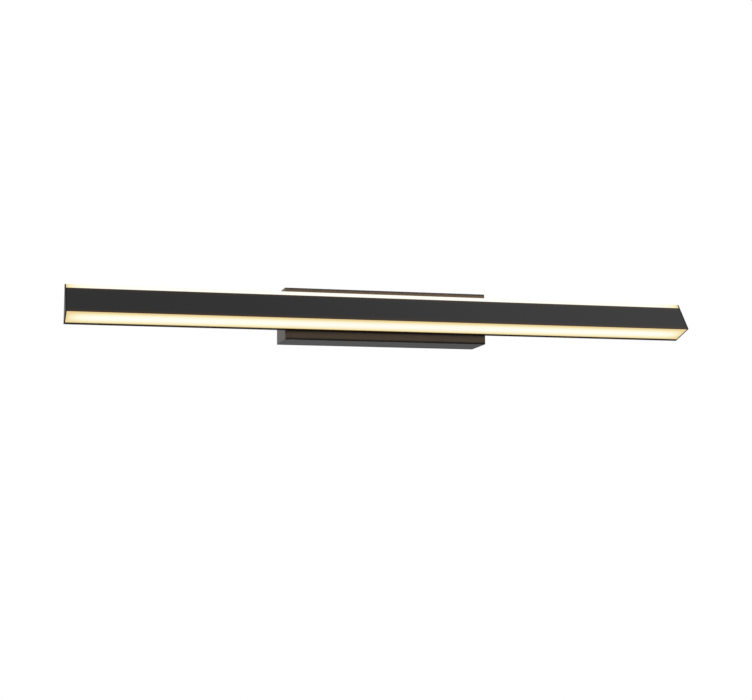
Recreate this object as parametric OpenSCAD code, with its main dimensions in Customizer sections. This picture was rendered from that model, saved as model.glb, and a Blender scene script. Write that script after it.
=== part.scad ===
// Vanity light bar: a triangular lamp bar with a lit underside and a lit top edge,
// carried by a box-shaped wall canopy that hides the LED driver.
// Millimetres. X runs along the bar, Y runs into the wall and Z is up.
// The origin is on the wall plane, at the centre of the canopy's open back.

/* [Bar] */
// Length of the bar over its end caps
bar_length = 914.4; // [600:0.1:1200]
// Width of the slanted front side, from the front edge up to the top edge
front_side = 51.4; // [42:0.1:62]
// Lean of the front side away from upright, in degrees
front_lean = 35.4; // [32:0.1:38]
// Width of the underside, from the front edge to the rear edge
base_side = 43.9; // [36:0.1:53]
// Fall of the underside from level towards the wall, in degrees
base_drop = 16.1; // [12:0.1:18]
// Height of the bar's front edge above the canopy's centre line
bar_rise = -12.4; // [-18:0.1:-8]
// Thickness of each end cap
cap_t = 1.5; // [1.4:0.1:4]
// Thickness of the gasket under each end cap
gasket_t = 0.4; // [0.3:0.1:1.5]

/* [Front plate] */
// Height of the lit strip left open between the plate and the top edge
lit_strip = 7.5; // [5:0.1:9]
// Thickness of the front plate
plate_t = 2.4; // [2:0.1:3.2]
// Visible edge of the plate along the underside
front_lip = 1.8; // [1.6:0.1:2.6]
// Reach of the plate's hooks over the spine's flange
hook_lip = 1.2; // [0.8:0.1:1.6]

/* [Spine] */
// Thickness of the spine's back wall
back_t = 2.2; // [2:0.1:3]
// Reach of the top lens down the back side
lens_reach = 21.9; // [18:0.1:25]
// Visible rail along the underside's rear edge
rear_lip = 6.2; // [2.1:0.1:6.5]
// Height of the lower web's lower face over the underside, as a share of the front side
lower_web_share = 0.214; // [0.2:0.001:0.24]
// Room left on each side of the upper board, which sets how high its web can be
board_clear = 0.9; // [0.5:0.1:1.5]
// Thickness of the two webs
web_t = 2; // [1.6:0.1:2.4]
// Thickness of the flange that carries the front plate
flange_t = 1.6; // [1.4:0.1:2.2]

/* [Lenses] */
// Thickness of both lenses
lens_t = 2; // [1.8:0.1:2.4]
// Thickness of the tongue along each lens edge
tongue_t = 0.95; // [0.8:0.05:1.1]
// Gap round a lens edge
lens_gap = 0.15; // [0.1:0.05:0.3]

/* [LED boards] */
// Distance between LEDs along the bar
led_pitch = 15; // [12:0.5:20]
// Length, width and height of one LED package
led_size = [3.5, 2.8, 0.8];
// Thickness of a board
board_t = 1.6; // [1:0.1:2]
// Width of the lower board
lower_board_w = 16; // [12:0.5:18]
// Width of the upper board
upper_board_w = 8.6; // [7:0.1:9]

/* [Canopy] */
// Width of the canopy along the bar
canopy_width = 300; // [248:0.5:360]
// Height of the canopy
canopy_height = 74.5; // [66:0.1:90]
// Depth of the canopy from its front to the wall
canopy_depth = 59.3; // [49:0.1:72]
// Wall of the canopy
canopy_t = 1.2; // [0.8:0.1:2]
// Round along the canopy's front edges
canopy_round = 3; // [2:0.1:6]

/* [Wall bracket] */
// Sheet of the wall bracket
bracket_t = 1.6; // [1.2:0.1:2.5]
// Spacing of the two wall-box slots, centre to centre
slot_spacing = 83.3; // [80:0.1:90]
// Overall length of a wall-box slot
slot_length = 18; // [10:0.5:20]
// Half the width of a wall-box slot
slot_r = 2.25; // [2:0.05:2.75]
// Width of the wire window
window_w = 50; // [40:1:56]
// Height of the wire window
window_h = 40; // [30:1:44]

/* [Saddle] */
// Width of the wedge-shaped saddle between the bar and the canopy
saddle_w = 130; // [120:1:160]
// Distance of each bar screw from the middle
bar_screw_x = 26; // [20:1:34]
// Distance of each saddle screw from the middle
saddle_screw_x = 50; // [44:1:56]

/* [Driver] */
// Length of the driver's case
driver_length = 76; // [70:1:84]
// Height of the driver's case
driver_height = 42; // [38:1:46]
// Depth of the driver's case
driver_depth = 26; // [24:0.5:30]
// Wall of the driver's case and lid
driver_t = 1.4; // [1:0.1:2]

/* [Wiring] */
// Radius of a supply lead over its insulation
supply_r = 1.2; // [1:0.1:1.5]
// Radius of an LED lead over its insulation
led_lead_r = 0.8; // [0.6:0.1:0.9]
// Radius of the wire hole through the canopy's front
wire_hole_r = 5; // [4.5:0.1:6]

/* [Fasteners] */
// Thread radius of the larger screws
screw_r = 2; // [2:0.1:2.5]
// Thread radius of the smaller screws
small_screw_r = 1.5; // [1.2:0.1:1.6]
// Radial clearance of a screw in a plain hole
screw_clear = 0.2; // [0.1:0.05:0.4]
// Head radius of the larger screws
head_r = 3.5; // [3.2:0.1:4]
// Head height of the larger screws
head_h = 2.2; // [1.8:0.1:2.6]
// Head radius of the smaller screws
small_head_r = 2.6; // [2.4:0.1:2.8]
// Head height of the smaller screws
small_head_h = 1.6; // [1.2:0.1:2]
// Height of the cone of a flush screw's head
flush_head_h = 1.2; // [1:0.1:1.3]
// Width of a hexagon nut across its flats
nut_flats = 7; // [7:0.1:8]
// Thickness of a nut
nut_t = 3.2; // [2.4:0.1:3.4]

/* [Hidden] */
$fn = 64;

eps = 0.01;

// Section geometry. The section is drawn in (Y, Z) from the bar's front edge.
front_dir = [sin(front_lean), cos(front_lean)];
front_in = [cos(front_lean), -sin(front_lean)];
base_dir = [cos(base_drop), -sin(base_drop)];
base_in = [sin(base_drop), cos(base_drop)];
top_edge = front_side * front_dir;
rear_edge = base_side * base_dir;
back_side = norm(top_edge - rear_edge);
back_dir = (top_edge - rear_edge) / back_side;
back_in = [-back_dir.y, back_dir.x];
back_lean = atan2(-back_dir.x, back_dir.y);

// The point where two lines cross, each given by its normal and its distance along it
function cross_at(n, c, m, d) =
    [c * m.y - d * n.y, n.x * d - m.x * c] / (n.x * m.y - n.y * m.x);
// A point a distance s up the front side and t behind it
function on_front(s, t) = s * front_dir + t * front_in;
// A point a distance s along the underside and h over it
function on_base(s, h) = s * base_dir + h * base_in;
// A point a distance s up the back side and t inside it
function on_back(s, t) = rear_edge + s * back_dir + t * back_in;
// A point t behind the front side and h over the underside
function front_at(t, h) = cross_at(front_in, t, base_in, h);
// A point t inside the back side and h over the underside
function back_at(t, h) = cross_at(back_in, t + back_in * rear_edge, base_in, h);
// The distance up the front side of the point t behind it and h over the underside
function front_reach(t, h) = front_at(t, h) * front_dir;

// Height of the front plate and of the spine's back wall, each measured along its own side
plate_width = front_side - lit_strip;
back_width = back_side - lens_reach;

// Edge details of plate, spine and lenses
lip_t = lens_t - tongue_t - lens_gap;
groove_wall = 0.9;
tongue_len = 1.3;
groove_top = lens_t + lens_gap;
slide_gap = 0.2;

// Flange and hooks that hold the front plate
flange_in = plate_t + slide_gap;
flange_out = flange_in + flange_t;
hook_in = flange_out + slide_gap;
hook_t = 1.2;
hook_out = hook_in + hook_t;

lower_web = lower_web_share * front_side;

// The room between the hooks and the back wall narrows by room_loss for each millimetre over the underside
function room_at(h) = (back_at(back_t, h) - front_at(hook_out, h)) * base_dir;
room_loss = room_at(0) - room_at(1);
upper_web = (room_at(0) - upper_board_w - 2 * board_clear) / room_loss - board_t - web_t;
flange_low = front_reach(hook_out, lower_web) - hook_lip - 2 * slide_gap - hook_t / 2;
flange_high = front_reach(flange_out, upper_web + web_t) + hook_lip + 2 * slide_gap + hook_t / 2;

// Lengths along the bar
profile_length = bar_length - 2 * (cap_t + gasket_t);
board_end_gap = 2;
board_length = profile_length - 2 * board_end_gap;
led_count = 2 * floor(board_length / (2 * led_pitch));
board_screw_pitch = 12 * led_pitch;
board_screw_count = 2 * floor((board_length / 2 - board_screw_pitch / 2) / board_screw_pitch + 1);

// Middle of the wire chamber between the webs
chamber_h = (lower_web + web_t + upper_web) / 2;
bar_screw_s = (chamber_h - (back_t + nut_t / 2) * (base_in * back_in)) / (base_in * back_dir)
    - (rear_edge * base_in) / (base_in * back_dir);
chamber_mid = (front_at(flange_out, chamber_h) + back_at(back_t, chamber_h)) / 2;
port_r = 1.25;
port_wall = 1.35;
port_seat = port_r + port_wall - 0.3;
lower_port = front_at(flange_out + port_seat, lower_web + web_t + port_seat);
port_rise = upper_web - lower_web - web_t - 2 * port_seat;
port_pitch = 2 * small_head_r + 0.4;
port_step = sqrt(max(0, port_pitch * port_pitch - port_rise * port_rise));
upper_port = front_at(flange_out + port_seat, upper_web - port_seat) + port_step * base_dir;
end_screw_bite = 6;
end_screw_length = cap_t + gasket_t + end_screw_bite;
flush_gap = 0.1;

// Places of the two boards, each given by the middle of the face that lies on its web
upper_seat_h = upper_web + web_t;
upper_seat = (front_at(hook_out, upper_seat_h + board_t) + back_at(back_t, upper_seat_h + board_t)) / 2
    - board_t * base_in;
lower_seat = (front_at(hook_out, lower_web - board_t) + back_at(back_t, lower_web - board_t)) / 2
    + board_t * base_in;
connector_size = [10, 5, 4];
tip_gap = 0.2;

// Stand-off of the bar, so that the bar screws' heads stay inside the saddle
head_web = 1.3;
bar_screw_tail = 0.8;
rear_clear = 0.1;
head_room = (head_web + head_h + slide_gap) / cos(back_lean) - (bar_screw_s - head_r) * sin(back_lean);
standoff = max(rear_clear, head_room);
bar_y = -(canopy_depth + standoff + rear_edge.x);
bar_z = bar_rise;
canopy_front = rear_edge.x + standoff;

// Saddle
saddle_low = 8;
saddle_high = back_width - 1;
saddle_edge = 2.5;
saddle_screw_s = saddle_high - head_r - saddle_edge;
saddle_screw_z = on_back(saddle_screw_s, 0).y;
saddle_tap = 4.3;
grommet_flange_r = wire_hole_r + 2;
grommet_flange_t = 1.2;
wire_z = back_at(back_t, chamber_h).y;
bore_r = wire_hole_r - 1.6;
bore_z = bar_z + wire_z;

// Inside of the canopy
inside_w = canopy_width - 2 * canopy_t;
inside_h = canopy_height - 2 * canopy_t;
bracket_gap = 0.3;
bracket_side_gap = 5;
bracket_w = inside_w - 2 * bracket_side_gap;
bracket_h = inside_h - 2 * bracket_gap;
ear_w = 20;
ear_depth = 24;
ear_end_gap = 22;
ear_x = bracket_w / 2 - ear_end_gap;
ear_screw_tail = 4;
ear_hole_y = -14;
flange_depth = 10;

// Driver
driver_end_gap = 11;
driver_x1 = bracket_w / 2 - driver_end_gap;
driver_x0 = driver_x1 - driver_length;
driver_back = -bracket_t;
driver_front = driver_back - driver_depth;
driver_ear = [8, 14];
post_length = 4;
post_r = 2;
post_inset = [7, 6];
lid_rib = [1, 2];
driver_board_back = driver_back - driver_t - post_length;
driver_board_front = driver_board_back - board_t;
driver_inset = driver_t + 0.6;
core_size = [22, 14, 20];
cheek_t = 4;
coil_inset = [1, 2];
core_shift = 2;
can_r = 5;
can_length = 14;
can_z = 8;
can_end_gap = 12;
terminal_size = [8, 8, 12];
terminal_edge = 3;
terminal_z = driver_height / 2 - driver_inset - terminal_size.z / 2 - terminal_edge;
terminal_x = driver_x0 + driver_t + 1.2;
terminal_y = driver_board_front - terminal_size.y / 2;
lead_hole_r = 3.2;
board_hole_r = 2.8;

// Wire connectors and the ground screw
connector_x = -bracket_w / 2 + 59;
connector_r = [5.4, 3];
connector_y = -34;
connector_z = [18, 4, -10];
connector_length = 20;
mouth_depth = 8;
mouth_r = 3;
ground_x = connector_x + 16;
ground_z = -22;
washer_r = 4;
terminal_ring_t = 0.8;
tongue_half = 1.4;
tongue_reach = 6;
barrel_start = 9;
barrel_length = 4;
barrel_t = 0.4;

// Round tubes that follow a route: a Catmull-Rom curve through points, swept with flat sides
lead_gap = 0.5;
tube_sides = 8;
tube_steps = 4;
function curve_at(a, b, c, d, t) =
    0.5 * (2 * b + (c - a) * t + (2 * a - 5 * b + 4 * c - d) * t * t + (3 * b - a - 3 * c + d) * t * t * t);
function route(p) = [
    for (i = [0 : len(p) - 2], k = [0 : tube_steps - 1])
        curve_at(p[max(i - 1, 0)], p[i], p[i + 1], p[min(i + 2, len(p) - 1)], k / tube_steps),
    p[len(p) - 1]
];
function unit(v) = v / norm(v);
function heading(p, i) = unit(p[min(i + 1, len(p) - 1)] - p[max(i - 1, 0)]);
function across(v, along) = unit(v - (v * along) * along);
function sides(p) = [
    for (i = 0, v = across([0.31, 0.59, 0.74], heading(p, 0));
         i < len(p);
         i = i + 1, v = i < len(p) ? across(v, heading(p, i)) : v)
        v
];

// Routes of the leads. The LED leads pass the grommet side by side, then part along the wire chamber.
lead_half = 1.1;
pair_half = 1.4;
pair_step = 1.6;
front_room = -canopy_depth + 11.6;
function line_route(z_side, mouth) = [
    [terminal_x - lead_gap, terminal_y, terminal_z + z_side],
    [terminal_x - 5, terminal_y, terminal_z + z_side],
    [driver_x0 - 10, terminal_y - 4, terminal_z + 2 * z_side],
    [driver_x0 - 30, front_room + 18 - 2 * z_side, 22 + 2 * z_side],
    [0, front_room + 12 - 2 * z_side, 24 + 2 * z_side],
    [connector_x + 34, connector_y - z_side, (24 + connector_z[mouth]) / 2 + 2 * z_side],
    [connector_x + 10, connector_y, connector_z[mouth]],
    [connector_x - mouth_depth + lead_gap, connector_y, connector_z[mouth]]
];
ground_route = [
    [ground_x - barrel_start - lead_gap, -bracket_t - terminal_ring_t / 2 - supply_r, ground_z],
    [ground_x - 13, -bracket_t - 3, ground_z],
    [ground_x - 13, -bracket_t - 14, ground_z + 2],
    [ground_x - 2, -bracket_t - 24, ground_z + 6],
    [connector_x + 10, connector_y, connector_z[2]],
    [connector_x - mouth_depth + lead_gap, connector_y, connector_z[2]]
];
function in_bar(p, x) = [x, bar_y + p.x, bar_z + p.y];
function led_route(side, pair, seat, wire) = [
    [terminal_x - lead_gap, terminal_y - pair_step * pair, -terminal_z + wire],
    [terminal_x - 5, terminal_y - pair_step * pair, -terminal_z + wire],
    [driver_x0 - 10 + pair_step * pair, terminal_y - 5 - pair_step * pair, -terminal_z + wire],
    [(driver_x0 - 2) / 2 + pair_step * pair, front_room + 10 - pair_step * pair,
     (bore_z - terminal_z) / 2 + wire],
    [pair_half * pair + 5, front_room - 0.9 * pair, bore_z + wire],
    [pair_half * pair, -canopy_depth + 4, bore_z + wire],
    [pair_half * pair, -canopy_depth - 4, bore_z + wire],
    in_bar(chamber_mid + [4.5, wire], 3 * side),
    in_bar(chamber_mid + [0.6 * wire, wire], led_pitch * side / 2 + 1),
    in_bar(seat - 4 * side * base_in + [wire, 0], led_pitch * side - 0.6 * side),
    in_bar(seat + (board_t - lead_gap) * side * base_in + [wire, 0], led_pitch * side)
];

// Draws a section given in (Y, Z) along the bar, starting at x
module along_bar(x, length) {
    translate([x, bar_y, bar_z])
        rotate([90, 0, 90])
            linear_extrude(length)
                children();
}

// Puts a child's Z axis through a point of the section, square to the underside and pointing up
module square_to_base(x, p) {
    translate([x, bar_y + p.x, bar_z + p.y])
        rotate([-base_drop, 0, 0])
            children();
}

// Puts a child's Z axis through the back side, pointing into the bar
module into_back(x, s) {
    translate([x, bar_y + on_back(s, 0).x, bar_z + on_back(s, 0).y])
        rotate([90 + back_lean, 0, 0])
            children();
}

// A box given by two opposite corners
module block(low, high) {
    translate(low)
        cube(high - low);
}

// A round tube along a route
module tube(points, r) {
    p = route(points);
    n = len(p);
    v = sides(p);
    rings = [
        for (i = [0 : n - 1], k = [0 : tube_sides - 1])
            let (w = cross(heading(p, i), v[i]), a = 360 * k / tube_sides)
                p[i] + r * (cos(a) * v[i] + sin(a) * w)
    ];
    walls = [
        for (i = [0 : n - 2], k = [0 : tube_sides - 1])
            let (m = (k + 1) % tube_sides)
                [i * tube_sides + k, (i + 1) * tube_sides + k, (i + 1) * tube_sides + m, i * tube_sides + m]
    ];
    start = [for (k = [0 : tube_sides - 1]) k];
    end = [for (k = [tube_sides - 1 : -1 : 0]) (n - 1) * tube_sides + k];
    polyhedron(rings, concat([start, end], walls), convexity = 6);
}

// Pan-head screw with its head over Z = 0 and its thread below
module pan_screw(r, length, cap_r, cap_h) {
    translate([0, 0, -length])
        cylinder(r = r, h = length);
    cylinder(r1 = cap_r, r2 = cap_r * 0.86, h = cap_h);
}

// A flat-bottomed recess across a screw's head
module drive_recess(r, depth, top) {
    translate([0, 0, top - depth])
        cylinder(r = r, h = depth + eps, $fn = 6);
}

module socket_screw(r, length, cap_r, cap_h) {
    difference() {
        pan_screw(r, length, cap_r, cap_h);
        drive_recess(0.45 * cap_r, 0.6 * cap_h, cap_h);
    }
}

// Positions along the bar of the board screws
module at_board_screws() {
    for (i = [0 : board_screw_count - 1])
        translate([(i - (board_screw_count - 1) / 2) * board_screw_pitch, 0, 0])
            children();
}

// Closed chamber between the webs, less the bosses of the two screw ports
module chamber_section() {
    difference() {
        polygon([
            front_at(flange_out, lower_web + web_t), back_at(back_t, lower_web + web_t),
            back_at(back_t, upper_web), front_at(flange_out, upper_web)
        ]);
        for (p = [lower_port, upper_port])
            translate(p)
                circle(port_r + port_wall);
    }
}

module spine_section() {
    difference() {
        polygon([
            on_base(base_side - rear_lip, 0), rear_edge,
            on_back(back_width, 0), on_back(back_width, lip_t),
            on_back(back_width - tongue_len - slide_gap, lip_t),
            on_back(back_width - tongue_len - slide_gap, back_t),
            back_at(back_t, upper_web + web_t), front_at(flange_out, upper_web + web_t),
            on_front(flange_high, flange_out), on_front(flange_high, flange_in),
            on_front(flange_low, flange_in), on_front(flange_low, flange_out),
            front_at(flange_out, lower_web), back_at(back_t, lower_web),
            back_at(back_t, groove_top), back_at(groove_wall, groove_top),
            back_at(groove_wall, lip_t), on_base(base_side - rear_lip, lip_t)
        ]);
        chamber_section();
        for (p = [lower_port, upper_port])
            translate(p)
                circle(port_r);
    }
}

// Aluminium extrusion: back wall, rear rail, two webs and the flange for the front plate
module spine() {
    color([0.16, 0.15, 0.14])
    difference() {
        along_bar(-profile_length / 2, profile_length)
            spine_section();
        for (x = [-bar_screw_x, bar_screw_x])
            into_back(x, bar_screw_s)
                translate([0, 0, -eps])
                    cylinder(r = screw_r + screw_clear, h = back_t + 2 * eps);
        translate([0, bar_y + canopy_front, bore_z])
            rotate([90, 0, 0])
                cylinder(r = wire_hole_r - 0.5, h = canopy_front - back_at(back_t, chamber_h).x + 2);
        square_to_base(led_pitch, upper_seat)
            translate([0, 0, -web_t - eps])
                cylinder(r = board_hole_r, h = web_t + 2 * eps);
        square_to_base(-led_pitch, lower_seat)
            translate([0, 0, -eps])
                cylinder(r = board_hole_r, h = web_t + 2 * eps);
        at_board_screws() {
            square_to_base(0, upper_seat)
                translate([0, 0, -web_t - eps])
                    cylinder(r = small_screw_r, h = web_t + 2 * eps);
            square_to_base(0, lower_seat)
                translate([0, 0, -eps])
                    cylinder(r = small_screw_r, h = web_t + 2 * eps);
        }
    }
}

// Slanted front plate with two hooks that slide over the spine's flange
module front_plate() {
    low = flange_low - slide_gap;
    high = flange_high + slide_gap;
    color([0.19, 0.19, 0.19])
    along_bar(-profile_length / 2, profile_length)
        polygon([
            [0, 0], on_front(plate_width, 0), on_front(plate_width, lip_t),
            on_front(plate_width - tongue_len - slide_gap, lip_t),
            on_front(plate_width - tongue_len - slide_gap, plate_t),
            on_front(high + hook_t, plate_t), on_front(high + hook_t, hook_out),
            on_front(flange_high - hook_lip, hook_out), on_front(flange_high - hook_lip, hook_in),
            on_front(high, hook_in), on_front(high, plate_t),
            on_front(low, plate_t), on_front(low, hook_in),
            on_front(flange_low + hook_lip, hook_in), on_front(flange_low + hook_lip, hook_out),
            on_front(low - hook_t, hook_out), on_front(low - hook_t, plate_t),
            front_at(plate_t, groove_top), front_at(groove_wall, groove_top),
            front_at(groove_wall, lip_t), on_base(front_lip, lip_t), on_base(front_lip, 0)
        ]);
}

// Lens over the top edge, from the front plate round to the spine's back wall
module top_lens() {
    color([1, 0.97, 0.9])
    along_bar(-profile_length / 2, profile_length)
        polygon([
            on_front(plate_width + lens_gap, 0), top_edge, on_back(back_width + lens_gap, 0),
            on_back(back_width + lens_gap, lens_t - tongue_t),
            on_back(back_width - tongue_len, lens_t - tongue_t),
            on_back(back_width - tongue_len, lens_t),
            cross_at(front_in, lens_t, back_in, lens_t + back_in * rear_edge),
            on_front(plate_width - tongue_len, lens_t), on_front(plate_width - tongue_len, lens_t - tongue_t),
            on_front(plate_width + lens_gap, lens_t - tongue_t)
        ]);
}

// Flat lens of the underside, held by its tongues in the plate and in the rear rail
module bottom_lens() {
    color([1, 0.96, 0.85])
    along_bar(-profile_length / 2, profile_length)
        polygon([
            on_base(front_lip + lens_gap, 0), on_base(base_side - rear_lip - lens_gap, 0),
            on_base(base_side - rear_lip - lens_gap, lens_t - tongue_t),
            back_at(groove_wall + lens_gap, lens_t - tongue_t), back_at(groove_wall + lens_gap, lens_t),
            front_at(groove_wall + lens_gap, lens_t), front_at(groove_wall + lens_gap, lens_t - tongue_t),
            on_base(front_lip + lens_gap, lens_t - tongue_t)
        ]);
}

// A board with its lower face on Z = 0, drilled for its screws and its lead hole
module board(width, hole_x) {
    difference() {
        block([-board_length / 2, -width / 2, 0], [board_length / 2, width / 2, board_t]);
        at_board_screws()
            translate([0, 0, -eps])
                cylinder(r = small_screw_r + screw_clear, h = board_t + 2 * eps);
        translate([hole_x, 0, -eps])
            cylinder(r = board_hole_r, h = board_t + 2 * eps);
    }
}

module upper_led_board() {
    color([0.93, 0.93, 0.9])
    square_to_base(0, upper_seat)
        board(upper_board_w, led_pitch);
}

module lower_led_board() {
    color([0.93, 0.93, 0.9])
    square_to_base(0, lower_seat)
        rotate([180, 0, 0])
            board(lower_board_w, -led_pitch);
}

// A row of LED packages standing on Z = 0
module led_row() {
    for (i = [0 : led_count - 1])
        translate([(i - (led_count - 1) / 2) * led_pitch, 0, 0])
            block([-led_size.x / 2, -led_size.y / 2, 0], [led_size.x / 2, led_size.y / 2, led_size.z]);
}

module upper_leds() {
    color([0.98, 0.9, 0.5])
    square_to_base(0, upper_seat + board_t * base_in)
        led_row();
}

module lower_leds() {
    color([0.98, 0.9, 0.5])
    square_to_base(0, lower_seat - board_t * base_in)
        rotate([180, 0, 0])
            led_row();
}

module board_screws() {
    color([0.75, 0.75, 0.75])
    at_board_screws() {
        square_to_base(0, upper_seat + board_t * base_in)
            socket_screw(small_screw_r, board_t + web_t - tip_gap, small_head_r, small_head_h);
        square_to_base(0, lower_seat - board_t * base_in)
            rotate([180, 0, 0])
                socket_screw(small_screw_r, board_t + web_t - tip_gap, small_head_r, small_head_h);
    }
}

// White push-in blocks over the lead holes of the two boards
module board_connectors() {
    color([0.95, 0.95, 0.93]) {
        square_to_base(led_pitch, upper_seat + board_t * base_in)
            block([-connector_size.x / 2, -connector_size.y / 2, 0],
                  [connector_size.x / 2, connector_size.y / 2, connector_size.z]);
        square_to_base(-led_pitch, lower_seat - board_t * base_in)
            block([-connector_size.x / 2, -connector_size.y / 2, -connector_size.z],
                  [connector_size.x / 2, connector_size.y / 2, 0]);
    }
}

module section_outline() {
    polygon([[0, 0], top_edge, rear_edge]);
}

// Axes of the end screws on one side, pointing outwards along +X
module at_ports() {
    for (p = [lower_port, upper_port])
        translate([0, bar_y + p.x, bar_z + p.y])
            rotate([0, 90, 0])
                children();
}

module countersink() {
    translate([0, 0, -cap_t - eps])
        cylinder(r = small_screw_r + screw_clear, h = cap_t + 2 * eps);
    translate([0, 0, -flush_head_h])
        cylinder(r1 = small_screw_r + screw_clear, r2 = small_head_r + screw_clear, h = flush_head_h + eps);
}

module right_end_cap() {
    color([0.14, 0.13, 0.12])
    difference() {
        along_bar(bar_length / 2 - cap_t, cap_t)
            section_outline();
        translate([bar_length / 2, 0, 0])
            at_ports()
                countersink();
    }
}

module left_end_cap() {
    color([0.14, 0.13, 0.12])
    mirror([1, 0, 0])
        right_end_cap();
}

module right_end_gasket() {
    color([0.08, 0.08, 0.08])
    difference() {
        along_bar(profile_length / 2, gasket_t)
            polygon([
                front_at(0.4, 0.4),
                cross_at(front_in, 0.4, back_in, 0.4 + back_in * rear_edge),
                back_at(0.4, 0.4)
            ]);
        translate([profile_length / 2 - eps, 0, 0])
            at_ports()
                cylinder(r = small_screw_r + screw_clear, h = gasket_t + 2 * eps);
    }
}

module left_end_gasket() {
    color([0.08, 0.08, 0.08])
    mirror([1, 0, 0])
        right_end_gasket();
}

// Countersunk screws of both end caps, their threads in the spine's screw ports
module end_cap_screws() {
    color([0.2, 0.19, 0.18])
    for (side = [0, 1])
        mirror([side, 0, 0])
            translate([bar_length / 2, 0, 0])
                at_ports()
                    difference() {
                        union() {
                            translate([0, 0, -end_screw_length])
                                cylinder(r = port_r, h = end_screw_length - flush_head_h + eps);
                            translate([0, 0, -flush_head_h])
                                cylinder(r1 = port_r, r2 = small_head_r, h = flush_head_h - flush_gap);
                        }
                        drive_recess(0.45 * small_head_r, 0.6 * flush_head_h, -flush_gap);
                    }
}

// Wedge that carries the leaning bar on the canopy's upright front
module saddle() {
    color([0.13, 0.12, 0.12])
    difference() {
        along_bar(-saddle_w / 2, saddle_w)
            polygon([
                on_back(saddle_low, 0), on_back(saddle_high, 0),
                [canopy_front, on_back(saddle_high, 0).y], [canopy_front, on_back(saddle_low, 0).y]
            ]);
        for (x = [-bar_screw_x, bar_screw_x])
            into_back(x, bar_screw_s) {
                translate([0, 0, -head_web - eps])
                    cylinder(r = screw_r + screw_clear, h = head_web + 2 * eps);
                translate([0, 0, -head_web - 20])
                    cylinder(r = head_r + screw_clear, h = 20);
            }
        for (x = [-saddle_screw_x, saddle_screw_x])
            translate([x, -canopy_depth + eps, bar_z + saddle_screw_z])
                rotate([90, 0, 0])
                    cylinder(r = screw_r, h = saddle_tap + eps);
        translate([0, -canopy_depth + eps, bore_z])
            rotate([90, 0, 0])
                cylinder(r = grommet_flange_r + slide_gap, h = canopy_front - on_back(saddle_low, 0).x + 40);
    }
}

module bar_screws() {
    color([0.72, 0.72, 0.72])
    for (x = [-bar_screw_x, bar_screw_x])
        into_back(x, bar_screw_s)
            translate([0, 0, -head_web])
                rotate([180, 0, 0])
                    difference() {
                        union() {
                            cylinder(r = head_r, h = head_h);
                            translate([0, 0, -(head_web + back_t + nut_t + bar_screw_tail)])
                                cylinder(r = screw_r, h = head_web + back_t + nut_t + bar_screw_tail + eps);
                        }
                        drive_recess(0.45 * head_r, 0.6 * head_h, head_h);
                    }
}

module bar_nuts() {
    color([0.78, 0.78, 0.78])
    for (x = [-bar_screw_x, bar_screw_x])
        into_back(x, bar_screw_s)
            translate([0, 0, back_t])
                difference() {
                    cylinder(r = nut_flats / sqrt(3), h = nut_t, $fn = 6);
                    translate([0, 0, -eps])
                        cylinder(r = screw_r, h = nut_t + 2 * eps);
                }
}

module saddle_screws() {
    color([0.72, 0.72, 0.72])
    for (x = [-saddle_screw_x, saddle_screw_x])
        translate([x, -canopy_depth + canopy_t, bar_z + saddle_screw_z])
            rotate([-90, 0, 0])
                socket_screw(screw_r, canopy_t + saddle_tap - tip_gap, head_r, head_h);
}

// Rubber bush of the wire hole in the canopy's front
module wire_grommet() {
    color([0.1, 0.1, 0.1])
    translate([0, -canopy_depth + canopy_t / 2, bore_z])
        rotate([90, 0, 0])
            difference() {
                union() {
                    for (side = [-1, 1])
                        translate([0, 0, side * (canopy_t + grommet_flange_t) / 2 - grommet_flange_t / 2])
                            cylinder(r = grommet_flange_r, h = grommet_flange_t);
                    cylinder(r = wire_hole_r, h = canopy_t + eps, center = true);
                }
                cylinder(r = bore_r, h = canopy_t + 2 * grommet_flange_t + 2 * eps, center = true);
            }
}

// A box from the wall forward, its four front edges rounded
module round_front_box(w, h, front, back, r) {
    intersection() {
        union() {
            block([-w / 2, front + r, -h / 2], [w / 2, back, h / 2]);
            block([-w / 2 + r, front, -h / 2], [w / 2 - r, back, h / 2]);
            for (x = [-w / 2 + r, w / 2 - r])
                translate([x, front + r, -h / 2])
                    cylinder(r = r, h = h);
        }
        union() {
            block([-w / 2, front + r, -h / 2], [w / 2, back, h / 2]);
            block([-w / 2, front, -h / 2 + r], [w / 2, back, h / 2 - r]);
            for (z = [-h / 2 + r, h / 2 - r])
                translate([-w / 2, front + r, z])
                    rotate([0, 90, 0])
                        cylinder(r = r, h = w);
        }
    }
}

// Open-backed sheet box against the wall
module canopy() {
    color([0.28, 0.24, 0.2])
    difference() {
        round_front_box(canopy_width, canopy_height, -canopy_depth, 0, canopy_round);
        round_front_box(inside_w, inside_h, -canopy_depth + canopy_t, 1, canopy_round - canopy_t);
        for (x = [-saddle_screw_x, saddle_screw_x])
            translate([x, -canopy_depth + canopy_t + eps, bar_z + saddle_screw_z])
                rotate([90, 0, 0])
                    cylinder(r = screw_r + screw_clear, h = canopy_t + 2 * eps);
        translate([0, -canopy_depth + canopy_t + eps, bore_z])
            rotate([90, 0, 0])
                cylinder(r = wire_hole_r, h = canopy_t + 2 * eps);
        for (x = [-ear_x, ear_x])
            translate([x, ear_hole_y, canopy_height / 2 - canopy_t - eps])
                cylinder(r = screw_r + screw_clear, h = canopy_t + 2 * eps);
    }
}

// Screws down through the canopy's top into the bracket's ears
module canopy_screws() {
    color([0.2, 0.18, 0.16])
    for (x = [-ear_x, ear_x])
        translate([x, ear_hole_y, canopy_height / 2])
            socket_screw(screw_r, canopy_t + bracket_gap + bracket_t + ear_screw_tail, head_r, head_h);
}

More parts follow.
